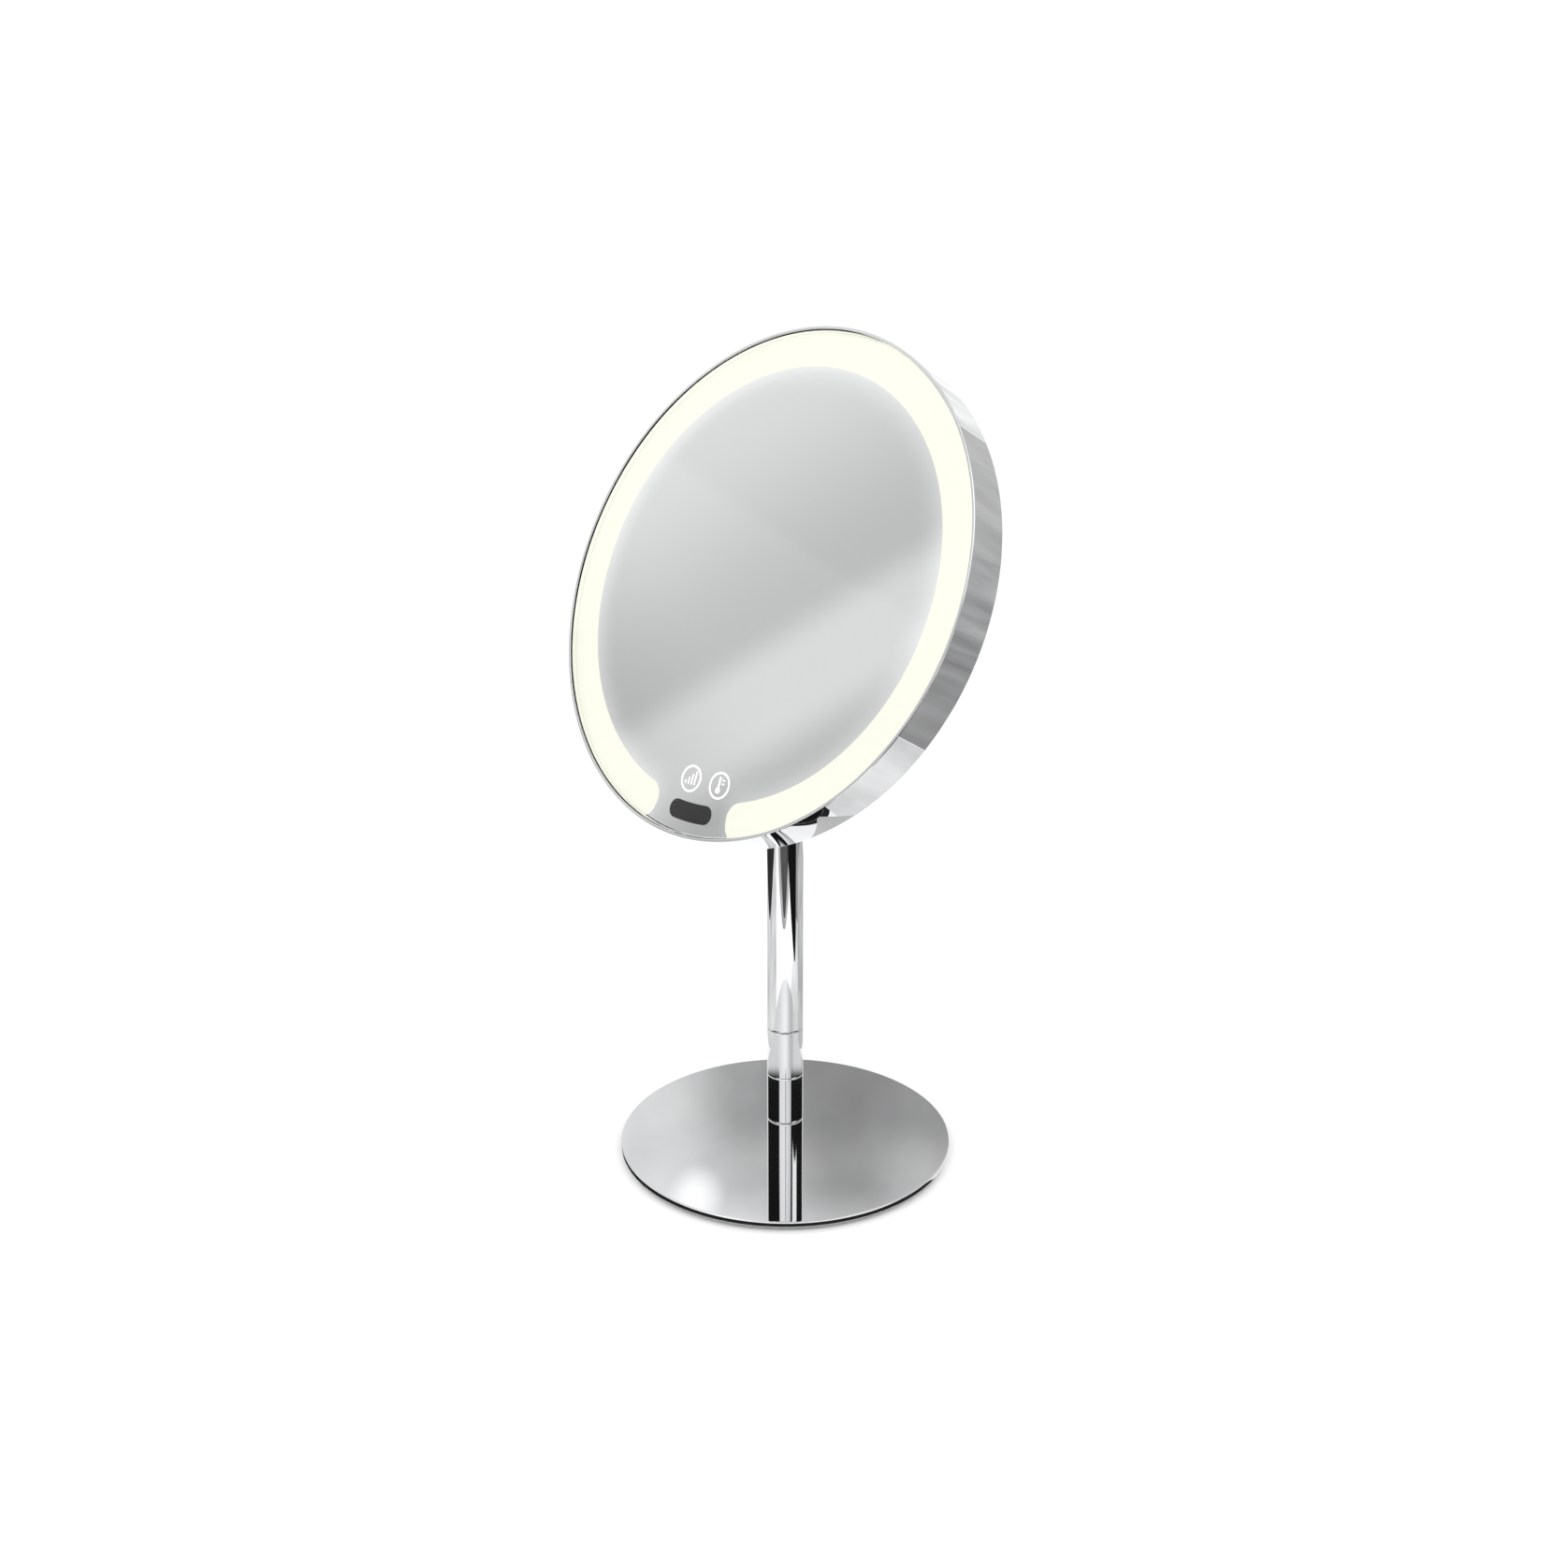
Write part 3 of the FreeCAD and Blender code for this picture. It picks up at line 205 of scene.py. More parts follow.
# %% [markdown]
# Moulded plastic has a fine spark-eroded texture that breaks up its highlight. Circuit boards,
# foam and rubber are the same recipe with other numbers, so one function makes them all.


# %% Moulded and printed finishes
def moulded(name, dark, light, roughness, texture=900.0, depth=0.15, metallic=0.0):
    made, tree, shader = new_material(name, light, roughness, metallic)
    cloud = noise(tree, 30.0, 5.0)
    tree.links.new(tint(tree, cloud, dark, light), shader.inputs["Base Color"])
    tree.links.new(spread(tree, cloud, roughness - 0.05, roughness + 0.06), shader.inputs["Roughness"])
    bump(tree, shader, noise(tree, texture, 2.0), depth, 0.0001)
    return made


# %% [markdown]
# The face of the mirror is a stack: clear glass, a silver film with openings etched in it, and an
# opal band behind the widest opening. The film also carries a painted glow: emission that stands
# in for light leaking sideways from the band, fading towards the middle. It is worked out from the
# distance to the head's axis.


# %% Face finishes
BAND_INNER = 89.5 * MM
PAINTED_GLOW_REACH = 13.0 * MM
PAINTED_GLOW_LEVEL = 0.16
PAINTED_GLOW_FALL = 2.2
GAP_HALF_ANGLE = math.radians(17)
GAP_SOFTNESS = 0.13
GLASS_INDEX = 1.3


def face_place(tree):
    """Coordinates on the face: X right, Y up, from the middle of the glass."""
    place = node(tree, "ShaderNodeTexCoord")
    mapped = node(tree, "ShaderNodeMapping", {"Location": face_centre, "Rotation": head_angles})
    mapped.vector_type = "TEXTURE"
    tree.links.new(place.outputs["Object"], mapped.inputs["Vector"])
    return mapped.outputs["Vector"]


def maths(tree, operation, a, b=None):
    """One Math node. Its inputs are sockets or numbers."""
    made = node(tree, "ShaderNodeMath", operation=operation)
    for socket, value in zip(made.inputs, (a, b)):
        if value is None:
            continue
        if isinstance(value, (int, float)):
            socket.default_value = value
        else:
            tree.links.new(value, socket)
    return made.outputs[0]


def silver_film():
    made, tree, shader = new_material("silver_film", (0.9, 0.9, 0.91), 0.02, 1.0)
    parts = node(tree, "ShaderNodeSeparateXYZ")
    tree.links.new(face_place(tree), parts.inputs[0])
    x, y = parts.outputs[0], parts.outputs[1]
    x_squared = maths(tree, "MULTIPLY", x, x)
    y_squared = maths(tree, "MULTIPLY", y, y)
    reach = maths(tree, "SQRT", maths(tree, "ADD", x_squared, y_squared))
    near = maths(tree, "DIVIDE", maths(tree, "SUBTRACT", reach, BAND_INNER - PAINTED_GLOW_REACH), PAINTED_GLOW_REACH)
    glow = maths(tree, "POWER", maths(tree, "MINIMUM", maths(tree, "MAXIMUM", near, 0.0), 1.0), PAINTED_GLOW_FALL)
    angle = maths(tree, "ABSOLUTE", maths(tree, "ARCTAN2", x, maths(tree, "MULTIPLY", y, -1.0)))
    past_gap = maths(tree, "SUBTRACT", angle, GAP_HALF_ANGLE - GAP_SOFTNESS)
    open_part = maths(tree, "DIVIDE", past_gap, GAP_SOFTNESS)
    open_part = maths(tree, "MINIMUM", maths(tree, "MAXIMUM", open_part, 0.0), 1.0)
    # painted glow: the film emits where light from the band would leak into it, fading towards the middle
    # and left out at the band's gap
    shader.inputs["Emission Color"].default_value = (1.0, 1.0, 0.97, 1.0)
    strength = maths(tree, "MULTIPLY", maths(tree, "MULTIPLY", glow, open_part), PAINTED_GLOW_LEVEL)
    tree.links.new(strength, shader.inputs["Emission Strength"])
    film = noise(tree, 14.0, 3.0)
    tree.links.new(spread(tree, film, 0.01, 0.03), shader.inputs["Roughness"])
    return made


def clear_glass():
    made, tree, shader = new_material("clear_glass", (0.985, 0.992, 0.988), 0.0)
    shader.inputs["Transmission Weight"].default_value = 1.0
    shader.inputs["IOR"].default_value = GLASS_INDEX
    tree.links.new(spread(tree, noise(tree, 40.0, 3.0), 0.0, 0.006), shader.inputs["Roughness"])
    return made


def lit(name, colour, glow, level, roughness=0.35):
    """A translucent plastic with light behind it, a little uneven as moulded opal is."""
    made, tree, shader = new_material(name, colour, roughness)
    even = noise(tree, 25.0, 2.0)
    tree.links.new(tint(tree, even, [c * 0.985 for c in glow], glow), shader.inputs["Emission Color"])
    shader.inputs["Emission Strength"].default_value = level
    bump(tree, shader, noise(tree, 1500.0, 2.0), 0.1, 0.00005)
    return made


# %% [markdown]
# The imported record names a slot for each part. One finish per slot, looked up by name, dresses
# every part in a single loop.

# %% Every slot's finish
BAND_GLOW = (1.0, 1.0, 0.87)
finishes = {
    "polished_chrome": polished_chrome(),
    "zinc_steel": brushed_metal("zinc_steel", (0.45, 0.45, 0.43), (0.66, 0.66, 0.63), 0.3),
    "port_steel": brushed_metal("port_steel", (0.5, 0.5, 0.5), (0.74, 0.74, 0.75), 0.25),
    "battery_foil": brushed_metal("battery_foil", (0.6, 0.61, 0.63), (0.78, 0.79, 0.8), 0.35),
    "bearing_nylon": moulded("bearing_nylon", (0.3, 0.3, 0.29), (0.4, 0.4, 0.39), 0.45),
    "foot_rubber": moulded("foot_rubber", (0.02, 0.02, 0.02), (0.045, 0.045, 0.045), 0.8, 1400.0, 0.4),
    "cover_plastic": moulded("cover_plastic", (0.4, 0.41, 0.43), (0.46, 0.47, 0.49), 0.32, 1800.0, 0.2),
    "tray_plastic": moulded("tray_plastic", (0.82, 0.82, 0.8), (0.9, 0.9, 0.88), 0.5),
    "clear_glass": clear_glass(),
    "silvering": silver_film(),
    "glowing_opal": lit("glowing_opal", (0.2, 0.2, 0.18), BAND_GLOW, 0.9),
    "icon_light": lit("icon_light", (0.95, 0.95, 0.95), (1.0, 1.0, 1.0), 1.0),
    "window_black": moulded("window_black", (0.001, 0.001, 0.001), (0.003, 0.003, 0.003), 0.3, 900.0, 0.02),
    "foam_tape": moulded("foam_tape", (0.12, 0.12, 0.12), (0.2, 0.2, 0.2), 0.9, 2200.0, 0.5),
    "white_board": moulded("white_board", (0.86, 0.86, 0.84), (0.93, 0.93, 0.91), 0.4),
    "green_board": moulded("green_board", (0.015, 0.16, 0.07), (0.03, 0.25, 0.12), 0.35),
    "warm_led": lit("warm_led", (0.95, 0.8, 0.5), (1.0, 0.8, 0.45), 1.5),
    "cool_led": lit("cool_led", (0.95, 0.95, 0.8), (0.9, 0.95, 1.0), 1.5),
    "pad_foam": moulded("pad_foam", (0.07, 0.07, 0.07), (0.13, 0.13, 0.13), 0.85, 2200.0, 0.5),
    "eye_plastic": moulded("eye_plastic", (0.03, 0.008, 0.02), (0.06, 0.015, 0.04), 0.1, 900.0, 0.03),
    "component_black": moulded("component_black", (0.02, 0.02, 0.02), (0.05, 0.05, 0.05), 0.5),
    "slider_plastic": moulded("slider_plastic", (0.04, 0.04, 0.04), (0.07, 0.07, 0.07), 0.45),
    "ribbon_white": moulded("ribbon_white", (0.82, 0.82, 0.82), (0.9, 0.9, 0.9), 0.4),
    "wire_jacket": moulded("wire_jacket", (0.4, 0.02, 0.015), (0.55, 0.035, 0.03), 0.45),
}
slot_of = {entry["node"]: entry["material_slot"] for entry in frame["record"]["subparts"]}
for name, part in nodes.items():
    part.data.materials.clear()
    part.data.materials.append(finishes[slot_of[name]])
print("finished", len(slot_of), "parts in", len(finishes), "finishes")

# %% [markdown]
# ## Finer meshes for the polished parts
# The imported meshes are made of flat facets, which a mirror polish would show as broken stripes.
# The large round parts are turned again from a short profile, with the same sizes as the packed
# boxes. Each profile corner gets a tiny round so that edges catch light.

# %% Turning
TURN_STEPS = 320
CORNER_STEPS = 4
SUPPORT_GAP = 0.4 * MM
FLAT_WITHIN = 1e-7


def rounded(profile, size):
    """The closed profile with each corner cut by a small arc, and a ring beside each arc that
    keeps the shading of the straight part straight."""
    points = []
    count = len(profile)
    for i, corner in enumerate(profile):
        here = Vector(corner)
        before = Vector(profile[i - 1]) - here
        after = Vector(profile[(i + 1) % count]) - here
        on_axis = here.x < 1e-9
        cut = min(size, before.length * 0.45, after.length * 0.45)
        if on_axis or cut <= 0:
            points.append(here)
            continue
        start = here + before.normalized() * cut
        end = here + after.normalized() * cut
        points.append(here + before.normalized() * min(cut + SUPPORT_GAP, before.length * 0.49))
        for step in range(CORNER_STEPS + 1):
            t = step / CORNER_STEPS
            points.append(start * (1 - t) ** 2 + here * 2 * t * (1 - t) + end * t * t)
        points.append(here + after.normalized() * min(cut + SUPPORT_GAP, after.length * 0.49))
    return points


def lathe(name, profile, corner, steps, place):
    """A closed mesh: the profile of radius and height, turned about the Z axis of place."""
    points = rounded([(r * MM, z * MM) for r, z in profile], corner)
    mesh = bpy.data.meshes.new(name)
    shape = bmesh.new()
    rings = []
    for point in points:
        if point.x < 1e-9:
            rings.append([shape.verts.new((0, 0, point.y))] * steps)
            continue
        ring = []
        for step in range(steps):
            angle = math.tau * step / steps
            ring.append(shape.verts.new((point.x * math.cos(angle), point.x * math.sin(angle), point.y)))
        rings.append(ring)
    for ring, above in zip(rings, rings[1:] + rings[:1]):
        for step in range(steps):
            after = (step + 1) % steps
            corners = []
            for vertex in (ring[step], ring[after], above[after], above[step]):
                if vertex not in corners:
                    corners.append(vertex)
            if len(corners) > 2:
                face = shape.faces.new(corners)
                level = max(v.co.z for v in corners) - min(v.co.z for v in corners) < FLAT_WITHIN
                face.smooth = not level
    bmesh.ops.recalc_face_normals(shape, faces=shape.faces)
    shape.transform(place)
    shape.to_mesh(mesh)
    shape.free()
    mesh.set_sharp_from_angle(angle=math.radians(32))
    return mesh


def turned(name, profile, body, slot, replaces, place, corner=0.25 * MM, steps=TURN_STEPS):
    """A turned piece, with its finish and the parts it stands for."""
    mesh = lathe(name, profile, corner, steps, place)
    return settle(bpy.data.objects.new(name, mesh), body, slot, replaces)


def settle(piece, body, slot, replaces):
    """Gives a finished piece the finish of its slot and its body, and hides the parts it stands for."""
    if piece.name not in bpy.context.scene.collection.objects:
        bpy.context.scene.collection.objects.link(piece)
    piece.data.materials.clear()
    piece.data.materials.append(finishes[slot])
    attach(piece, body)
    if replaces:
        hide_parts(*replaces)
        print(piece.name, "differs from its part by", box_difference(piece, nodes[replaces[0]]), "mm")
    return piece


def box_difference(piece, part):
    """The largest difference between two boxes, in millimetres."""
    boxes = []
    for thing in (piece, part):
        spots = [thing.matrix_world @ vertex.co for vertex in thing.data.vertices]
        boxes.append([f(spot[axis] for spot in spots) for f in (min, max) for axis in range(3)])
    return round(max(abs(a - b) for a, b in zip(*boxes)) / MM, 3)


# %% [markdown]
# Profiles are in millimetres: a radius and a height each. The stem's two parts share their radii,
# and the hairline between them is the seam where the stem turns.

# %% Stem, foot and rim
WORLD = Matrix.Identity(4)
STEM = Matrix.Translation((0, hinge.y, 0))
STEM_OUTER, STEM_INNER = 8, 6.8
FOOT_OUTER, FOOT_LOW, FOOT_TOP, FOOT_CHAMFER = 66.5, 1, 4, 1
SEAM_LOW, SEAM_HIGH, STEM_TOP = 25.5, 26, 174.5
RIM_OUTER, RIM_INNER, LEDGE_INNER, RIM_BACK = 105, 103.8, 102.4, -18.5
LEDGE_FRONT, LEDGE_BACK = -7.6, -8.8
GLASS_OUTER, GLASS_FRONT, GLASS_BACK, GLASS_BEVEL = 103.5, -0.6, -4.55, 0.4


def tube(low, high):
    """The profile of a length of the stem."""
    return [(STEM_INNER, low), (STEM_OUTER, low), (STEM_OUTER, high), (STEM_INNER, high)]


FOOT = [
    (0, FOOT_LOW),
    (FOOT_OUTER - FOOT_CHAMFER, FOOT_LOW),
    (FOOT_OUTER, FOOT_LOW + FOOT_CHAMFER),
    (FOOT_OUTER, FOOT_TOP),
    (0, FOOT_TOP),
]
RIM = [
    (RIM_INNER, 0),
    (RIM_OUTER, 0),
    (RIM_OUTER, RIM_BACK),
    (RIM_INNER, RIM_BACK),
    (RIM_INNER, LEDGE_BACK),
    (LEDGE_INNER, LEDGE_BACK),
    (LEDGE_INNER, LEDGE_FRONT),
    (RIM_INNER, LEDGE_FRONT),
]
GLASS = [
    (0, GLASS_BACK),
    (GLASS_OUTER, GLASS_BACK),
    (GLASS_OUTER, GLASS_FRONT - GLASS_BEVEL),
    (GLASS_OUTER - GLASS_BEVEL, GLASS_FRONT),
    (0, GLASS_FRONT),
]
turned("foot_disc", FOOT, "base", "polished_chrome", ["base_plate"], WORLD)
turned("stem_collar", tube(FOOT_TOP, SEAM_LOW), "base", "polished_chrome", ["lower_collar"], STEM)
turned("stem_barrel", tube(SEAM_HIGH, STEM_TOP), "stem", "polished_chrome", ["stem_tube"], STEM)
turned("chrome_rim", RIM, "head", "polished_chrome", ["bezel_ring"], HEAD)
turned("front_glass", GLASS, "head", "clear_glass", ["mirror_glass"], HEAD, corner=0.05 * MM)

# %% [markdown]
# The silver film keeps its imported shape. Smoothed normals showed as streaks in it, so the copy
# has its loose triangles merged and is shaded flat.

# %% Flat silver film
silver_source = nodes["silver_coating"]
silver_mesh = silver_source.data.copy()
silver_mesh.name = "silver_film_flat"
silver_shape = bmesh.new()
silver_shape.from_mesh(silver_mesh)
bmesh.ops.remove_doubles(silver_shape, verts=silver_shape.verts, dist=1e-6)
bmesh.ops.dissolve_degenerate(silver_shape, edges=silver_shape.edges, dist=1e-7)
bmesh.ops.recalc_face_normals(silver_shape, faces=silver_shape.faces)
silver_shape.to_mesh(silver_mesh)
silver_shape.free()
silver_mesh.shade_flat()
settle(
    bpy.data.objects.new("silver_film_flat", silver_mesh),
    silver_source["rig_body"],
    slot_of["silver_coating"],
    ["silver_coating"],
)

# %% [markdown]
# ## Screws and ribs from Geometry Nodes
# A screw is made once: a turned head and shank, and a cross cut into the head by a Boolean node.
# Geometry Nodes then stands a copy on each point of a ring or a grid. A real fitter never leaves
# two crosses in line, so each copy gets its own turn from a seeded random node. Changing the
# count or the spacing is one number, which is why this beats placing them by hand.


# %% Tree helpers
def start_tree(name, inputs):
    """A new tree with named inputs. Returns it with its first and last nodes."""
    tree = bpy.data.node_groups.new(name, "GeometryNodeTree")
    tree.interface.new_socket("Geometry", in_out="INPUT", socket_type="NodeSocketGeometry")
    for label, kind in inputs:
        tree.interface.new_socket(label, in_out="INPUT", socket_type=kind)
    tree.interface.new_socket("Geometry", in_out="OUTPUT", socket_type="NodeSocketGeometry")
    return tree, tree.nodes.new("NodeGroupInput"), tree.nodes.new("NodeGroupOutput")


def end_tree(tree, last, shape, slot):
    """Closes a tree with Realize Instances and Set Material."""
    real = node(tree, "GeometryNodeRealizeInstances")
    coated = node(tree, "GeometryNodeSetMaterial", {"Material": finishes[slot]})
    tree.links.new(shape, real.inputs[0])
    tree.links.new(real.outputs[0], coated.inputs["Geometry"])
    tree.links.new(coated.outputs[0], last.inputs[0])


def run_tree(name, mesh, tree, values, place):
    """Runs the tree on a mesh with the named values, and returns the plain mesh it makes."""
    source = bpy.data.objects.new(name + "_source", mesh)
    bpy.context.scene.collection.objects.link(source)
    modifier = source.modifiers.new("shape", "NODES")
    modifier.node_group = tree
    for item in tree.interface.items_tree:
        if item.in_out == "INPUT" and item.name in values:
            modifier[item.identifier] = values[item.name]
    done = bpy.data.meshes.new_from_object(source.evaluated_get(bpy.context.evaluated_depsgraph_get()))
    source.modifiers.remove(modifier)
    bpy.data.objects.remove(source)
    done.name = name
    done.transform(place)
    done.shade_smooth()
    done.set_sharp_from_angle(angle=math.radians(30))
    print(name, "has", len(done.polygons), "faces")
    return done


# %% [markdown]
# A known fault: the cut below isn't clean. On a finished screw the middle of the cross stays
# filled and one arm shows black. The cause hasn't been found, so don't copy this cut as it is.

# %% Screw trees
CROSS_LONG, CROSS_WIDE, CROSS_DEEP = 3.3 * MM, 0.75 * MM, 0.5 * MM


def cross_cut(tree, shape, face):
    """Cuts two crossing bars into a face at a height, one bar after the other."""
    lying = (CROSS_LONG, CROSS_WIDE, 2 * CROSS_DEEP)
    standing = (CROSS_WIDE, CROSS_LONG, 2 * CROSS_DEEP)
    for size in (lying, standing):
        bar = node(tree, "GeometryNodeMeshCube", {"Size": size})
        moved = node(tree, "GeometryNodeTransform", {"Translation": (0, 0, face)})
        tree.links.new(bar.outputs["Mesh"], moved.inputs["Geometry"])
        cut = node(tree, "GeometryNodeMeshBoolean", operation="DIFFERENCE", solver="EXACT")
        tree.links.new(shape, cut.inputs["Mesh 1"])
        tree.links.new(moved.outputs[0], cut.inputs["Mesh 2"])
        shape = cut.outputs["Mesh"]
    return shape


def screw_tree(name, face, pattern, links, seed):
    """Screws on the points of a pattern node. Links join named inputs to the pattern."""
    kinds = {"Count": "NodeSocketInt"}
    inputs = [(label, kinds.get(label, "NodeSocketFloat")) for label in links]
    tree, first, last = start_tree(name, inputs)
    spots = node(tree, pattern)
    for label, socket in links.items():
        tree.links.new(first.outputs[label], spots.inputs[socket])
    crossed = cross_cut(tree, first.outputs["Geometry"], face)
    turn_range = {"Min": (0, 0, 0), "Max": (0, 0, math.tau)}
    turn = node(tree, "FunctionNodeRandomValue", turn_range, data_type="FLOAT_VECTOR")
    turn.inputs["Seed"].default_value = seed
    copies = node(tree, "GeometryNodeInstanceOnPoints")
    tree.links.new(spots.outputs["Mesh"], copies.inputs["Points"])
    tree.links.new(crossed, copies.inputs["Instance"])
    tree.links.new(turn.outputs["Value"], copies.inputs["Rotation"])
    end_tree(tree, last, copies.outputs[0], "zinc_steel")
    return tree, spots


# %% Cover screws and bracket screws
SCREW_STEPS = 40


def screw_profile(face, head_radius, head_back, shank_radius, tip):
    """A screw's half section, from its face to its tip, in millimetres."""
    head = [(0, face), (head_radius, face), (head_radius, head_back)]
    return head + [(shank_radius, head_back), (shank_radius, tip), (0, tip)]


COVER_FACE = -21.2
COVER_SCREW_COUNT = 6
COVER_RING_RADIUS = 76.0 * MM
ring_links = {"Count": "Vertices", "Radius": "Radius"}
ring_tree, _ = screw_tree("screw_ring", COVER_FACE * MM, "GeometryNodeMeshCircle", ring_links, 3)
cover_profile = screw_profile(COVER_FACE, 2.7, -20.4, 1.25, -11.5)
cover_mesh = run_tree(
    "cover_screws_crossed",
    lathe("cover_screw", cover_profile, 0.2 * MM, SCREW_STEPS, WORLD),
    ring_tree,
    {"Count": COVER_SCREW_COUNT, "Radius": COVER_RING_RADIUS},
    HEAD,
)
settle(bpy.data.objects.new("cover_screws_crossed", cover_mesh), "head", "zinc_steel", ["cover_screws"])

PLATE_FACE = -24.9
PLATE_ACROSS, PLATE_ALONG = 27.0 * MM, 22.0 * MM
grid_links = {"Across": "Size X", "Along": "Size Y"}
grid_tree, grid_spots = screw_tree("screw_grid", PLATE_FACE * MM, "GeometryNodeMeshGrid", grid_links, 8)
for side in ("Vertices X", "Vertices Y"):
    grid_spots.inputs[side].default_value = 2
plate_profile = screw_profile(PLATE_FACE, 2.8, -23.3, 1.5, -16.9)
plate_mesh = run_tree(
    "bracket_screws_crossed",
    lathe("bracket_screw", plate_profile, 0.4 * MM, SCREW_STEPS, WORLD),
    grid_tree,
    {"Across": PLATE_ACROSS, "Along": PLATE_ALONG},
    HEAD @ Matrix.Translation((0, -HINGE_BELOW, 0)),
)
settle(bpy.data.objects.new("bracket_screws_crossed", plate_mesh), "head", "zinc_steel", ["bracket_screws"])

# %% [markdown]
# The thumb slider is a small moulded block. A row of grooves across its top leaves ribs for a
# thumb or nail to push. Geometry Nodes lays cutters along a line and takes them all away at once.


# %% Ribbed slider
def block(shape, low, high):
    """Adds a closed box between two corners, in millimetres."""
    size = [(b - a) * MM for a, b in zip(low, high)]
    middle = [(a + b) / 2 * MM for a, b in zip(low, high)]
    bmesh.ops.create_cube(shape, size=1.0, matrix=Matrix.Translation(middle) @ Matrix.Diagonal((*size, 1)))


SLIDER_LOW, SLIDER_HIGH = (-47.5, -48.5, -19.3), (-40.5, -43.5, -18.2)
THUMB_X, THUMB_Y, THUMB_Z = -44.0 * MM, -46.0 * MM, -20.8 * MM
THUMB_SIZE = (5 * MM, 3 * MM, 3.4 * MM)
GROOVE_COUNT, GROOVE_PITCH = 4, 1.1 * MM
GROOVE_SIZE = (0.45 * MM, 4 * MM, 0.7 * MM)
GROOVE_Z = -22.5 * MM
slider_shape = bmesh.new()
block(slider_shape, SLIDER_LOW, SLIDER_HIGH)
slider_foot = bpy.data.meshes.new("slider_foot")
slider_shape.to_mesh(slider_foot)
slider_shape.free()

rib_inputs = [("Grooves", "NodeSocketInt"), ("Pitch", "NodeSocketFloat")]
rib_tree, rib_first, rib_last = start_tree("slider_ribs", rib_inputs)
thumb = node(rib_tree, "GeometryNodeMeshCube", {"Size": THUMB_SIZE})
thumb_moved = node(rib_tree, "GeometryNodeTransform", {"Translation": (THUMB_X, THUMB_Y, THUMB_Z)})
step = node(rib_tree, "ShaderNodeCombineXYZ")
start_x = maths(rib_tree, "MULTIPLY", rib_first.outputs["Pitch"], -(GROOVE_COUNT - 1) / 2)
line_start = node(rib_tree, "ShaderNodeCombineXYZ")
line = node(rib_tree, "GeometryNodeMeshLine")
cutter = node(rib_tree, "GeometryNodeMeshCube", {"Size": GROOVE_SIZE})
cutters = node(rib_tree, "GeometryNodeInstanceOnPoints")
cutters_real = node(rib_tree, "GeometryNodeRealizeInstances")
cutters_moved = node(rib_tree, "GeometryNodeTransform", {"Translation": (THUMB_X, THUMB_Y, GROOVE_Z)})
grooved = node(rib_tree, "GeometryNodeMeshBoolean", operation="DIFFERENCE", solver="EXACT")
whole = node(rib_tree, "GeometryNodeMeshBoolean", operation="UNION", solver="EXACT")
rib_links = [
    (rib_first.outputs["Pitch"], step.inputs["X"]),
    (start_x, line_start.inputs["X"]),
    (rib_first.outputs["Grooves"], line.inputs["Count"]),
    (step.outputs[0], line.inputs["Offset"]),
    (line_start.outputs[0], line.inputs["Start Location"]),
    (line.outputs["Mesh"], cutters.inputs["Points"]),
    (cutter.outputs["Mesh"], cutters.inputs["Instance"]),
    (cutters.outputs[0], cutters_real.inputs[0]),
    (cutters_real.outputs[0], cutters_moved.inputs["Geometry"]),
    (thumb.outputs["Mesh"], thumb_moved.inputs["Geometry"]),
    (thumb_moved.outputs[0], grooved.inputs["Mesh 1"]),
    (cutters_moved.outputs[0], grooved.inputs["Mesh 2"]),
    (grooved.outputs["Mesh"], whole.inputs["Mesh 2"]),
    (rib_first.outputs["Geometry"], whole.inputs["Mesh 2"]),
]
for out_socket, in_socket in rib_links:
    rib_tree.links.new(out_socket, in_socket)
end_tree(rib_tree, rib_last, whole.outputs["Mesh"], "slider_plastic")
rib_values = {"Grooves": GROOVE_COUNT, "Pitch": GROOVE_PITCH}
slider_mesh = run_tree("slider_ribbed", slider_foot, rib_tree, rib_values, HEAD)
settle(bpy.data.objects.new("slider_ribbed", slider_mesh), "switch", "slider_plastic", ["power_slider"])

# %% [markdown]
# ## Floor and light
# The floor is wide and pale. The sky is a soft white with a darker side, which is what gives
# polished metal its shape. A few cards that only reflections can see stand in for the dark
# corners of a room: without them, chrome on a white floor looks like plaster.

# %% Floor
floor_mesh = bpy.data.meshes.new("floor")
FLOOR_HALF = 60.0
floor_sides = [(-1, -1), (1, -1), (1, 1), (-1, 1)]
floor_corners = [(x * FLOOR_HALF, y * FLOOR_HALF, 0) for x, y in floor_sides]
floor_mesh.from_pydata(floor_corners, [], [(0, 1, 2, 3)])
floor = bpy.data.objects.new("floor", floor_mesh)
bpy.context.scene.collection.objects.link(floor)
floor_finish, floor_tree, floor_shader = new_material("pale_floor", (0.92, 0.92, 0.92), 0.7)
floor_tree.links.new(
    tint(floor_tree, noise(floor_tree, 3.0), (0.915, 0.915, 0.915), (0.925, 0.925, 0.925)),
    floor_shader.inputs["Base Color"],
)
floor_shader.inputs["Specular IOR Level"].default_value = 0.0
floor_mesh.materials.append(floor_finish)

# %% [markdown]
# The sky is worked out from a direction. A ramp of a few grey stops along an axis makes a wall of
# the room, and walls are blended one into the next. The numbers before each level say how far the
# direction leans along that axis. They set the look and claim nothing about a real room.

# %% Sky
WHITE_LEVEL = 1.2
LAMP_LEVEL = 2.2
SCREEN_LEVEL = 0.01
world = bpy.data.worlds.new("studio")
world.use_nodes = True
bpy.context.scene.world = world
sky = world.node_tree
background = next(n for n in sky.nodes if n.type == "BACKGROUND")
direction = node(sky, "ShaderNodeTexCoord").outputs["Generated"]


def along(axis):
    """How far a direction leans along an axis."""
    dot = node(sky, "ShaderNodeVectorMath", {1: axis}, operation="DOT_PRODUCT")
    sky.links.new(direction, dot.inputs[0])
    return dot.outputs["Value"]


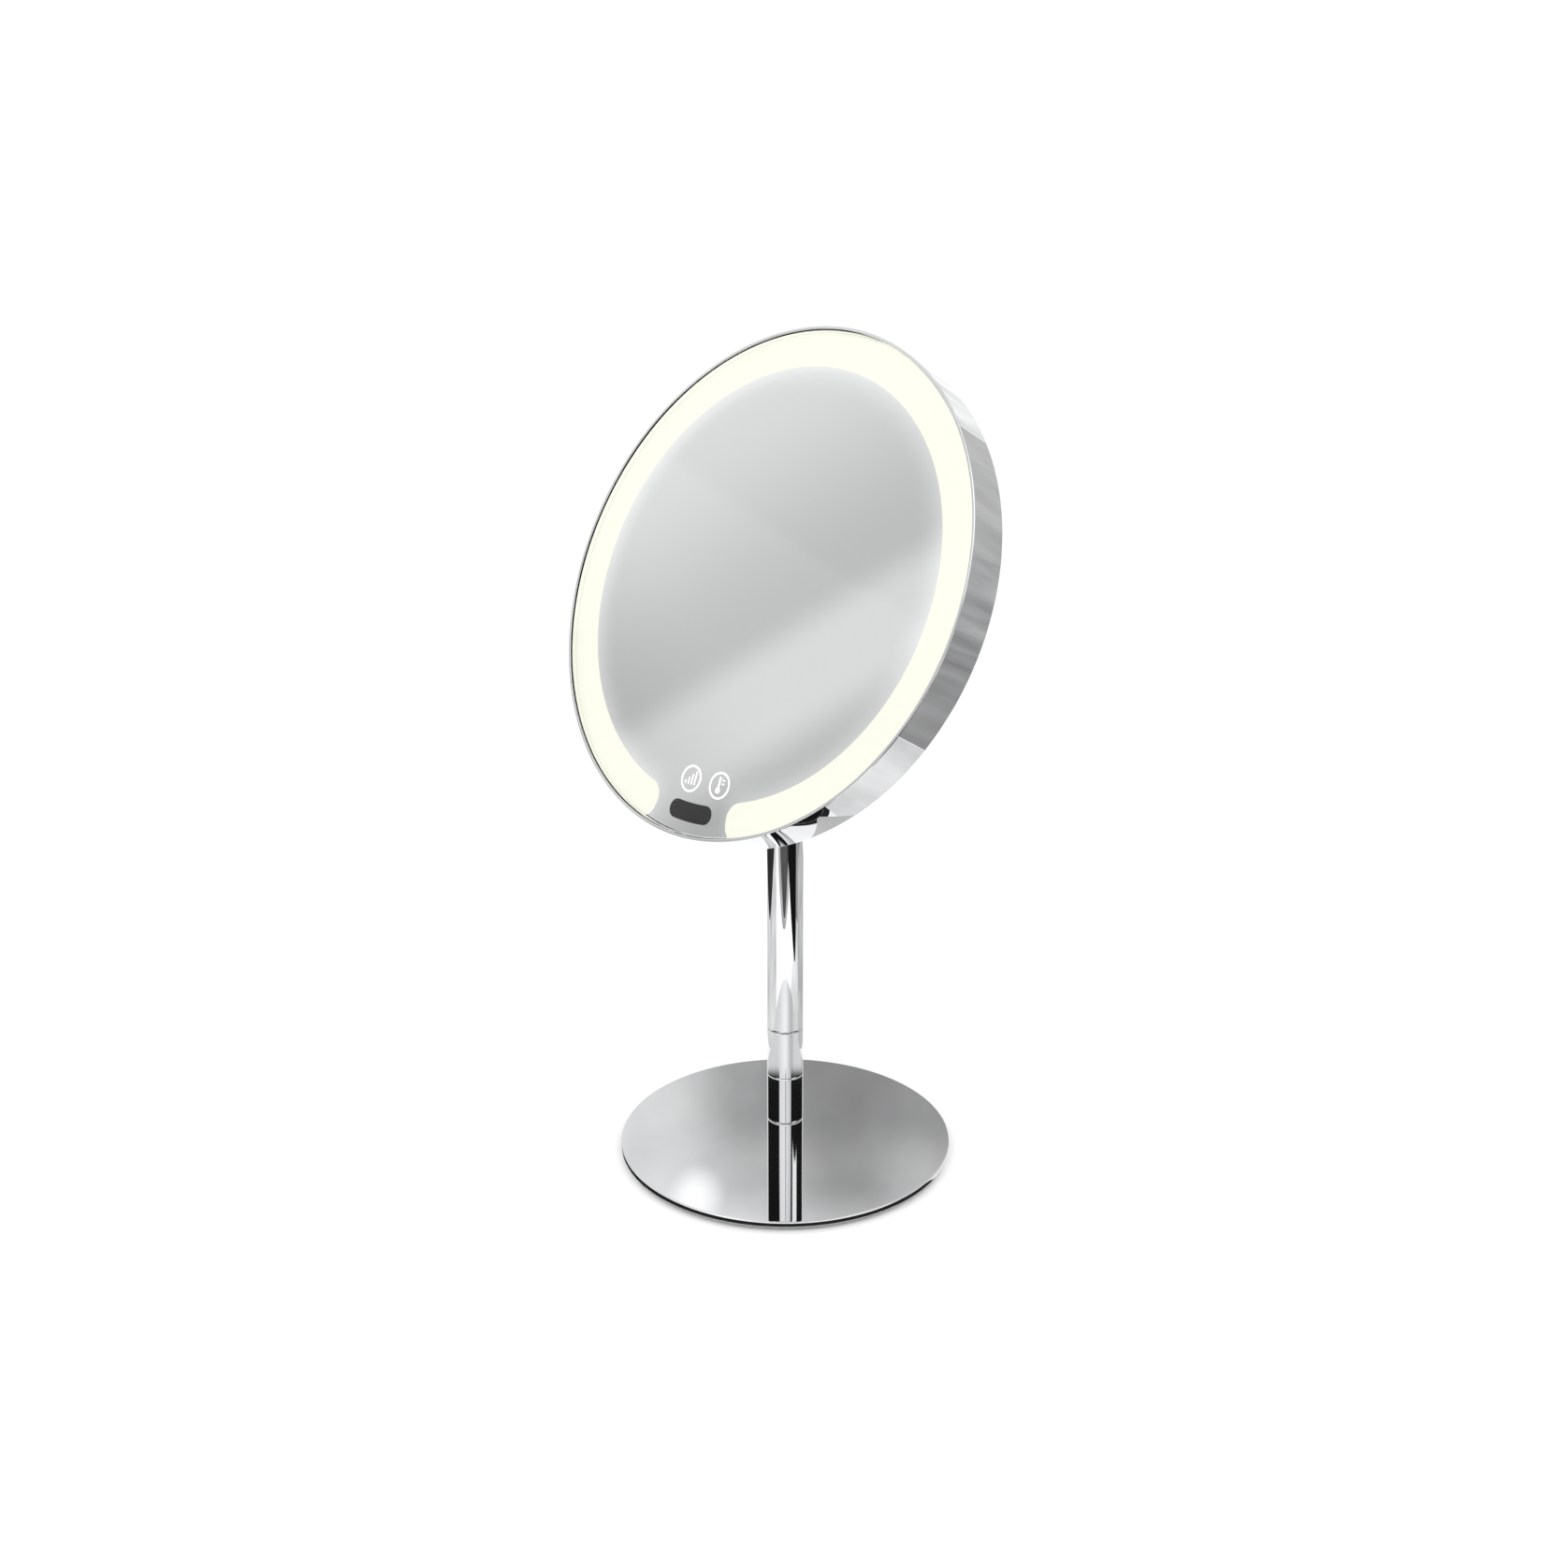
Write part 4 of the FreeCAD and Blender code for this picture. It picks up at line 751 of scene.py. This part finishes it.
def ramp(source, low, high, stops):
    """Grey levels along a source that runs from low to high."""
    scaled = node(sky, "ShaderNodeMapRange", {"From Min": low, "From Max": high})
    sky.links.new(source, scaled.inputs["Value"])
    curve = node(sky, "ShaderNodeValToRGB")
    curve.color_ramp.interpolation = "EASE"
    while len(curve.color_ramp.elements) < len(stops):
        curve.color_ramp.elements.new(0.5)
    for element, (spot, level) in zip(curve.color_ramp.elements, stops):
        element.position = (spot - low) / (high - low)
        element.color = (level, level, level, 1.0)
    sky.links.new(scaled.outputs["Result"], curve.inputs["Fac"])
    return curve.outputs["Color"]


def blend_sky(share, first, second):
    """First where share is 0 and second where it is 1."""
    mix = node(sky, "ShaderNodeMix", data_type="RGBA")
    sky.links.new(share, mix.inputs["Factor"])
    sky.links.new(first, mix.inputs[6])
    sky.links.new(second, mix.inputs[7])
    return mix.outputs[2]


# the side that the glass looks at has a slanting soft band of light
SLANT = (-0.3589, -0.8712, -0.335)
SLANT_STOPS = [(0.02, 0.85), (0.16, 0.6), (0.19, 0.8), (0.22, 0.8), (0.26, 0.55)]
slanting = ramp(along(SLANT), 0.0, 0.3, SLANT_STOPS)
sideways = ramp(along((0.5004, -0.4508, 0.7392)), -0.4, -0.1, [(-0.32, 0.86), (-0.22, 1.0)])
glass_mix = node(sky, "ShaderNodeVectorMath", operation="MULTIPLY")
sky.links.new(slanting, glass_mix.inputs[0])
sky.links.new(sideways, glass_mix.inputs[1])
glass_side = glass_mix.outputs["Vector"]
# behind: light on the left, darker on the right, and cloudy
HIGH_STOPS = [(-0.08, 0.8), (-0.03, 0.4), (0.05, 0.3), (0.1, 0.35)]
MIDDLE_STOPS = [(-0.09, 0.8), (-0.03, 0.6), (0.05, 0.35), (0.1, 0.55)]
upper_wall = ramp(along((1, 0, 0)), -0.15, 0.15, HIGH_STOPS)
middle_wall = ramp(along((1, 0, 0)), -0.15, 0.15, MIDDLE_STOPS)
lower_wall = ramp(along((1, 0, 0)), -0.15, 0.15, [(-0.06, 0.85), (0.05, 0.6), (0.1, 0.7)])
upward = along((0, 0, 1))
back_wall = blend_sky(ramp(upward, 0.4, 0.6, [(0.47, 0.0), (0.508, 1.0)]), upper_wall, middle_wall)
back_wall = blend_sky(ramp(upward, 0.4, 0.6, [(0.51, 0.0), (0.54, 1.0)]), back_wall, lower_wall)
right_wall = ramp(along((0, 0, 1)), -0.5, 0.5, [(-0.3, 0.32), (-0.1, 0.4), (0.1, 0.45), (0.32, 0.55)])
pale_wall = ramp(upward, 0.0, 0.5, [(0.05, 1.0), (0.3, 0.92)])
behind = ramp(upward, 0.2, 0.6, [(0.35, 0.0), (0.41, 1.0)])
back_wall = blend_sky(behind, pale_wall, back_wall)
right_share = ramp(along((0.814, -0.581, 0)), -0.1, 0.1, [(-0.004, 0.0), (0.004, 1.0)])
back_side = blend_sky(right_share, back_wall, right_wall)
towards_left = ramp(along((-1, 0, 0)), 0.0, 1.0, [(0.45, 0.0), (0.65, 1.0)])
room = blend_sky(towards_left, back_side, glass_side)
clouds = node(sky, "ShaderNodeTexNoise", {"Scale": 11.0, "Detail": 4.0})
sky.links.new(direction, clouds.inputs["Vector"])
shade = node(sky, "ShaderNodeMapRange", {"From Min": 0.3, "From Max": 0.7, "To Min": 0.82, "To Max": 1.16})
sky.links.new(clouds.outputs["Fac"], shade.inputs["Value"])
cloudy = node(sky, "ShaderNodeVectorMath", operation="MULTIPLY")
sky.links.new(room, cloudy.inputs[0])
sky.links.new(shade.outputs["Result"], cloudy.inputs[1])
room = blend_sky(towards_left, cloudy.outputs["Vector"], room)
# a small bright lamp behind
LAMP = (-0.060, 0.853, 0.517)
lamp_share = ramp(along(LAMP), 0.999, 1.0, [(0.9990, 0.0), (0.9996, 0.75), (0.99975, 1.0)])
bright = node(sky, "ShaderNodeRGB")
bright.outputs[0].default_value = (LAMP_LEVEL, LAMP_LEVEL, LAMP_LEVEL, 1)
room = blend_sky(lamp_share, room, bright.outputs[0])
rays = node(sky, "ShaderNodeLightPath")
# what a reflection inside another reflection sees: a light room low down, black screens above it
STREAK_STOPS = [(-0.58, 0.01), (-0.5, 0.9), (0.0, 0.95), (0.04, 0.1), (0.1, 0.9), (0.5, 0.7), (0.6, 0.01)]
streaks = ramp(along((1, 0, 0)), -1.0, 1.0, STREAK_STOPS)
side_on = ramp(along((0, 1, 0)), -1.0, 1.0, [(-0.72, 0.0), (-0.66, 1.0), (0.68, 1.0), (0.76, 0.0)])
screens = node(sky, "ShaderNodeRGB")
screens.outputs[0].default_value = (SCREEN_LEVEL, SCREEN_LEVEL, SCREEN_LEVEL, 1)
above = blend_sky(side_on, streaks, screens.outputs[0])
low = ramp(along((1, 0, 0)), -1.0, 1.0, [(-0.8, 0.8), (0.0, 1.1), (0.6, 0.6), (0.8, 0.8)])
over = ramp(along((0, 0, 1)), 0.3, 0.6, [(0.442, 0.0), (0.450, 1.0)])
within = blend_sky(over, low, above)
twice = node(sky, "ShaderNodeMath", {1: 1.5}, operation="GREATER_THAN")
sky.links.new(rays.outputs["Glossy Depth"], twice.inputs[0])
room = blend_sky(twice.outputs[0], room, within)
white = node(sky, "ShaderNodeRGB")
white.outputs[0].default_value = (WHITE_LEVEL, WHITE_LEVEL, WHITE_LEVEL, 1)
plain = node(sky, "ShaderNodeMath", operation="MAXIMUM")
sky.links.new(rays.outputs["Is Camera Ray"], plain.inputs[0])
sky.links.new(rays.outputs["Is Diffuse Ray"], plain.inputs[1])
seen = blend_sky(plain.outputs[0], room, white.outputs[0])
sky.links.new(seen, background.inputs["Color"])
background.inputs["Strength"].default_value = 1.0


# %% [markdown]
# Two soft square lamps, one stronger than the other, give the matt parts their modelling.

# %% Lights
def softbox(name, spot, aim, size, power):
    """A square area light that faces its aim."""
    data = bpy.data.lights.new(name, "AREA")
    data.size = size
    data.energy = power
    lamp = bpy.data.objects.new(name, data)
    lamp.location = spot
    lamp.rotation_euler = (Vector(aim) - Vector(spot)).to_track_quat("-Z", "Y").to_euler()
    bpy.context.scene.collection.objects.link(lamp)
    return lamp


softbox("key_light", (-0.9, -0.7, 1.5), (0, 0, 0.1), 0.9, 4.0)
softbox("fill_light", (1.1, -0.5, 1.2), (0, 0, 0.1), 0.8, 2.0)


# %% [markdown]
# Cards glow at a level and are hidden from the camera, from soft light and from shadows, so they
# show only in polished surfaces. They are stage, not part of the mirror.

# %% Cards that only reflections see
def only_reflected(made, level):
    """Makes a piece of stage that glows at a level, and that only reflections see."""
    bpy.context.scene.collection.objects.link(made)
    finish, tree, shader = new_material(made.name + "_finish", (0, 0, 0), 1.0)
    shader.inputs["Specular IOR Level"].default_value = 0.0
    cloud = tint(tree, noise(tree, 12.0, 5.0), [level * 0.75] * 3, [level * 1.25] * 3)
    tree.links.new(cloud, shader.inputs["Emission Color"])
    shader.inputs["Emission Strength"].default_value = 1.0
    made.data.materials.append(finish)
    made.visible_camera = False
    made.visible_diffuse = False
    made.visible_shadow = False
    return made


def card(name, corners, level):
    """A flat card through its corners, in millimetres."""
    mesh = bpy.data.meshes.new(name)
    mesh.from_pydata([[c * MM for c in corner] for corner in corners], [], [list(range(len(corners)))])
    return only_reflected(bpy.data.objects.new(name, mesh), level)


def floor_patch(name, level, corners, lift=0.4):
    """A patch of floor shade. Each corner is a distance and a bearing from the stem."""
    spots = []
    for distance, bearing in corners:
        turn = math.radians(bearing)
        spots.append((distance * math.sin(turn), hinge.y / MM - distance * math.cos(turn), lift))
    return card(name, spots, level)


LEFT = [(212, -113), (212, -107), (300, -80), (420, -62), (700, -90), (700, -130), (420, -158), (300, -140)]
FRONT = [(222, -8), (222, 0), (300, 14), (420, 26), (600, 10), (600, -20), (420, -36), (300, -24)]
RIGHT = [(152, 58), (152, 64), (200, 69), (420, 70), (600, 56), (600, 20), (420, 6), (300, 24), (200, 42)]
SOFT = [(205, -14), (205, 2), (420, 40), (600, 20), (600, -30), (420, -50)]
EDGE = [(46, 84), (330, 84), (450, 117), (330, 150), (46, 150)]
BROAD = [(60, -150), (420, -150), (600, -120), (600, -90), (420, -56), (60, -56)]
floor_patch("dark_floor_left", 0.03, LEFT)
floor_patch("dark_floor_front", 0.1, FRONT)
floor_patch("soft_floor_front", 0.5, SOFT, 0.3)
floor_patch("dark_floor_right", 0.008, RIGHT)
floor_patch("grey_floor_edge", 0.55, EDGE, 0.35)
floor_patch("grey_floor_low", 0.72, BROAD, 0.2)
card("grey_floor_right", [(206, -100, 0.3), (1500, -400, 0.3), (1500, 900, 0.3), (206, 160, 0.3)], 0.33)
card("grey_wall_right", [(900, -500, 0), (900, 900, 0), (900, 900, 300), (900, -500, 300)], 0.42)
card("pale_floor_right", [(60, -40, 0.3), (205, -60, 0.3), (205, 30, 0.3), (60, 60, 0.3)], 0.8)

# the foot's edge sees only the floor beside it; this dark ring is painted shade there, seen only in
# reflections as a dark line along the edge
EDGE_STEPS = 96
EDGE_RADII = (67.0, 72.0)
EDGE_LIFT = 0.25 * MM
edge_card = bpy.data.meshes.new("dark_edge_card")
edge_ring = []
for radius in EDGE_RADII:
    for step in range(EDGE_STEPS):
        turn = math.tau * step / EDGE_STEPS
        edge_ring.append((radius * MM * math.cos(turn), radius * MM * math.sin(turn), EDGE_LIFT))
edge_faces = []
for step in range(EDGE_STEPS):
    after = (step + 1) % EDGE_STEPS
    edge_faces.append((step, after, EDGE_STEPS + after, EDGE_STEPS + step))
edge_card.from_pydata(edge_ring, [], edge_faces)
only_reflected(bpy.data.objects.new("dark_edge_card", edge_card), 0.02)
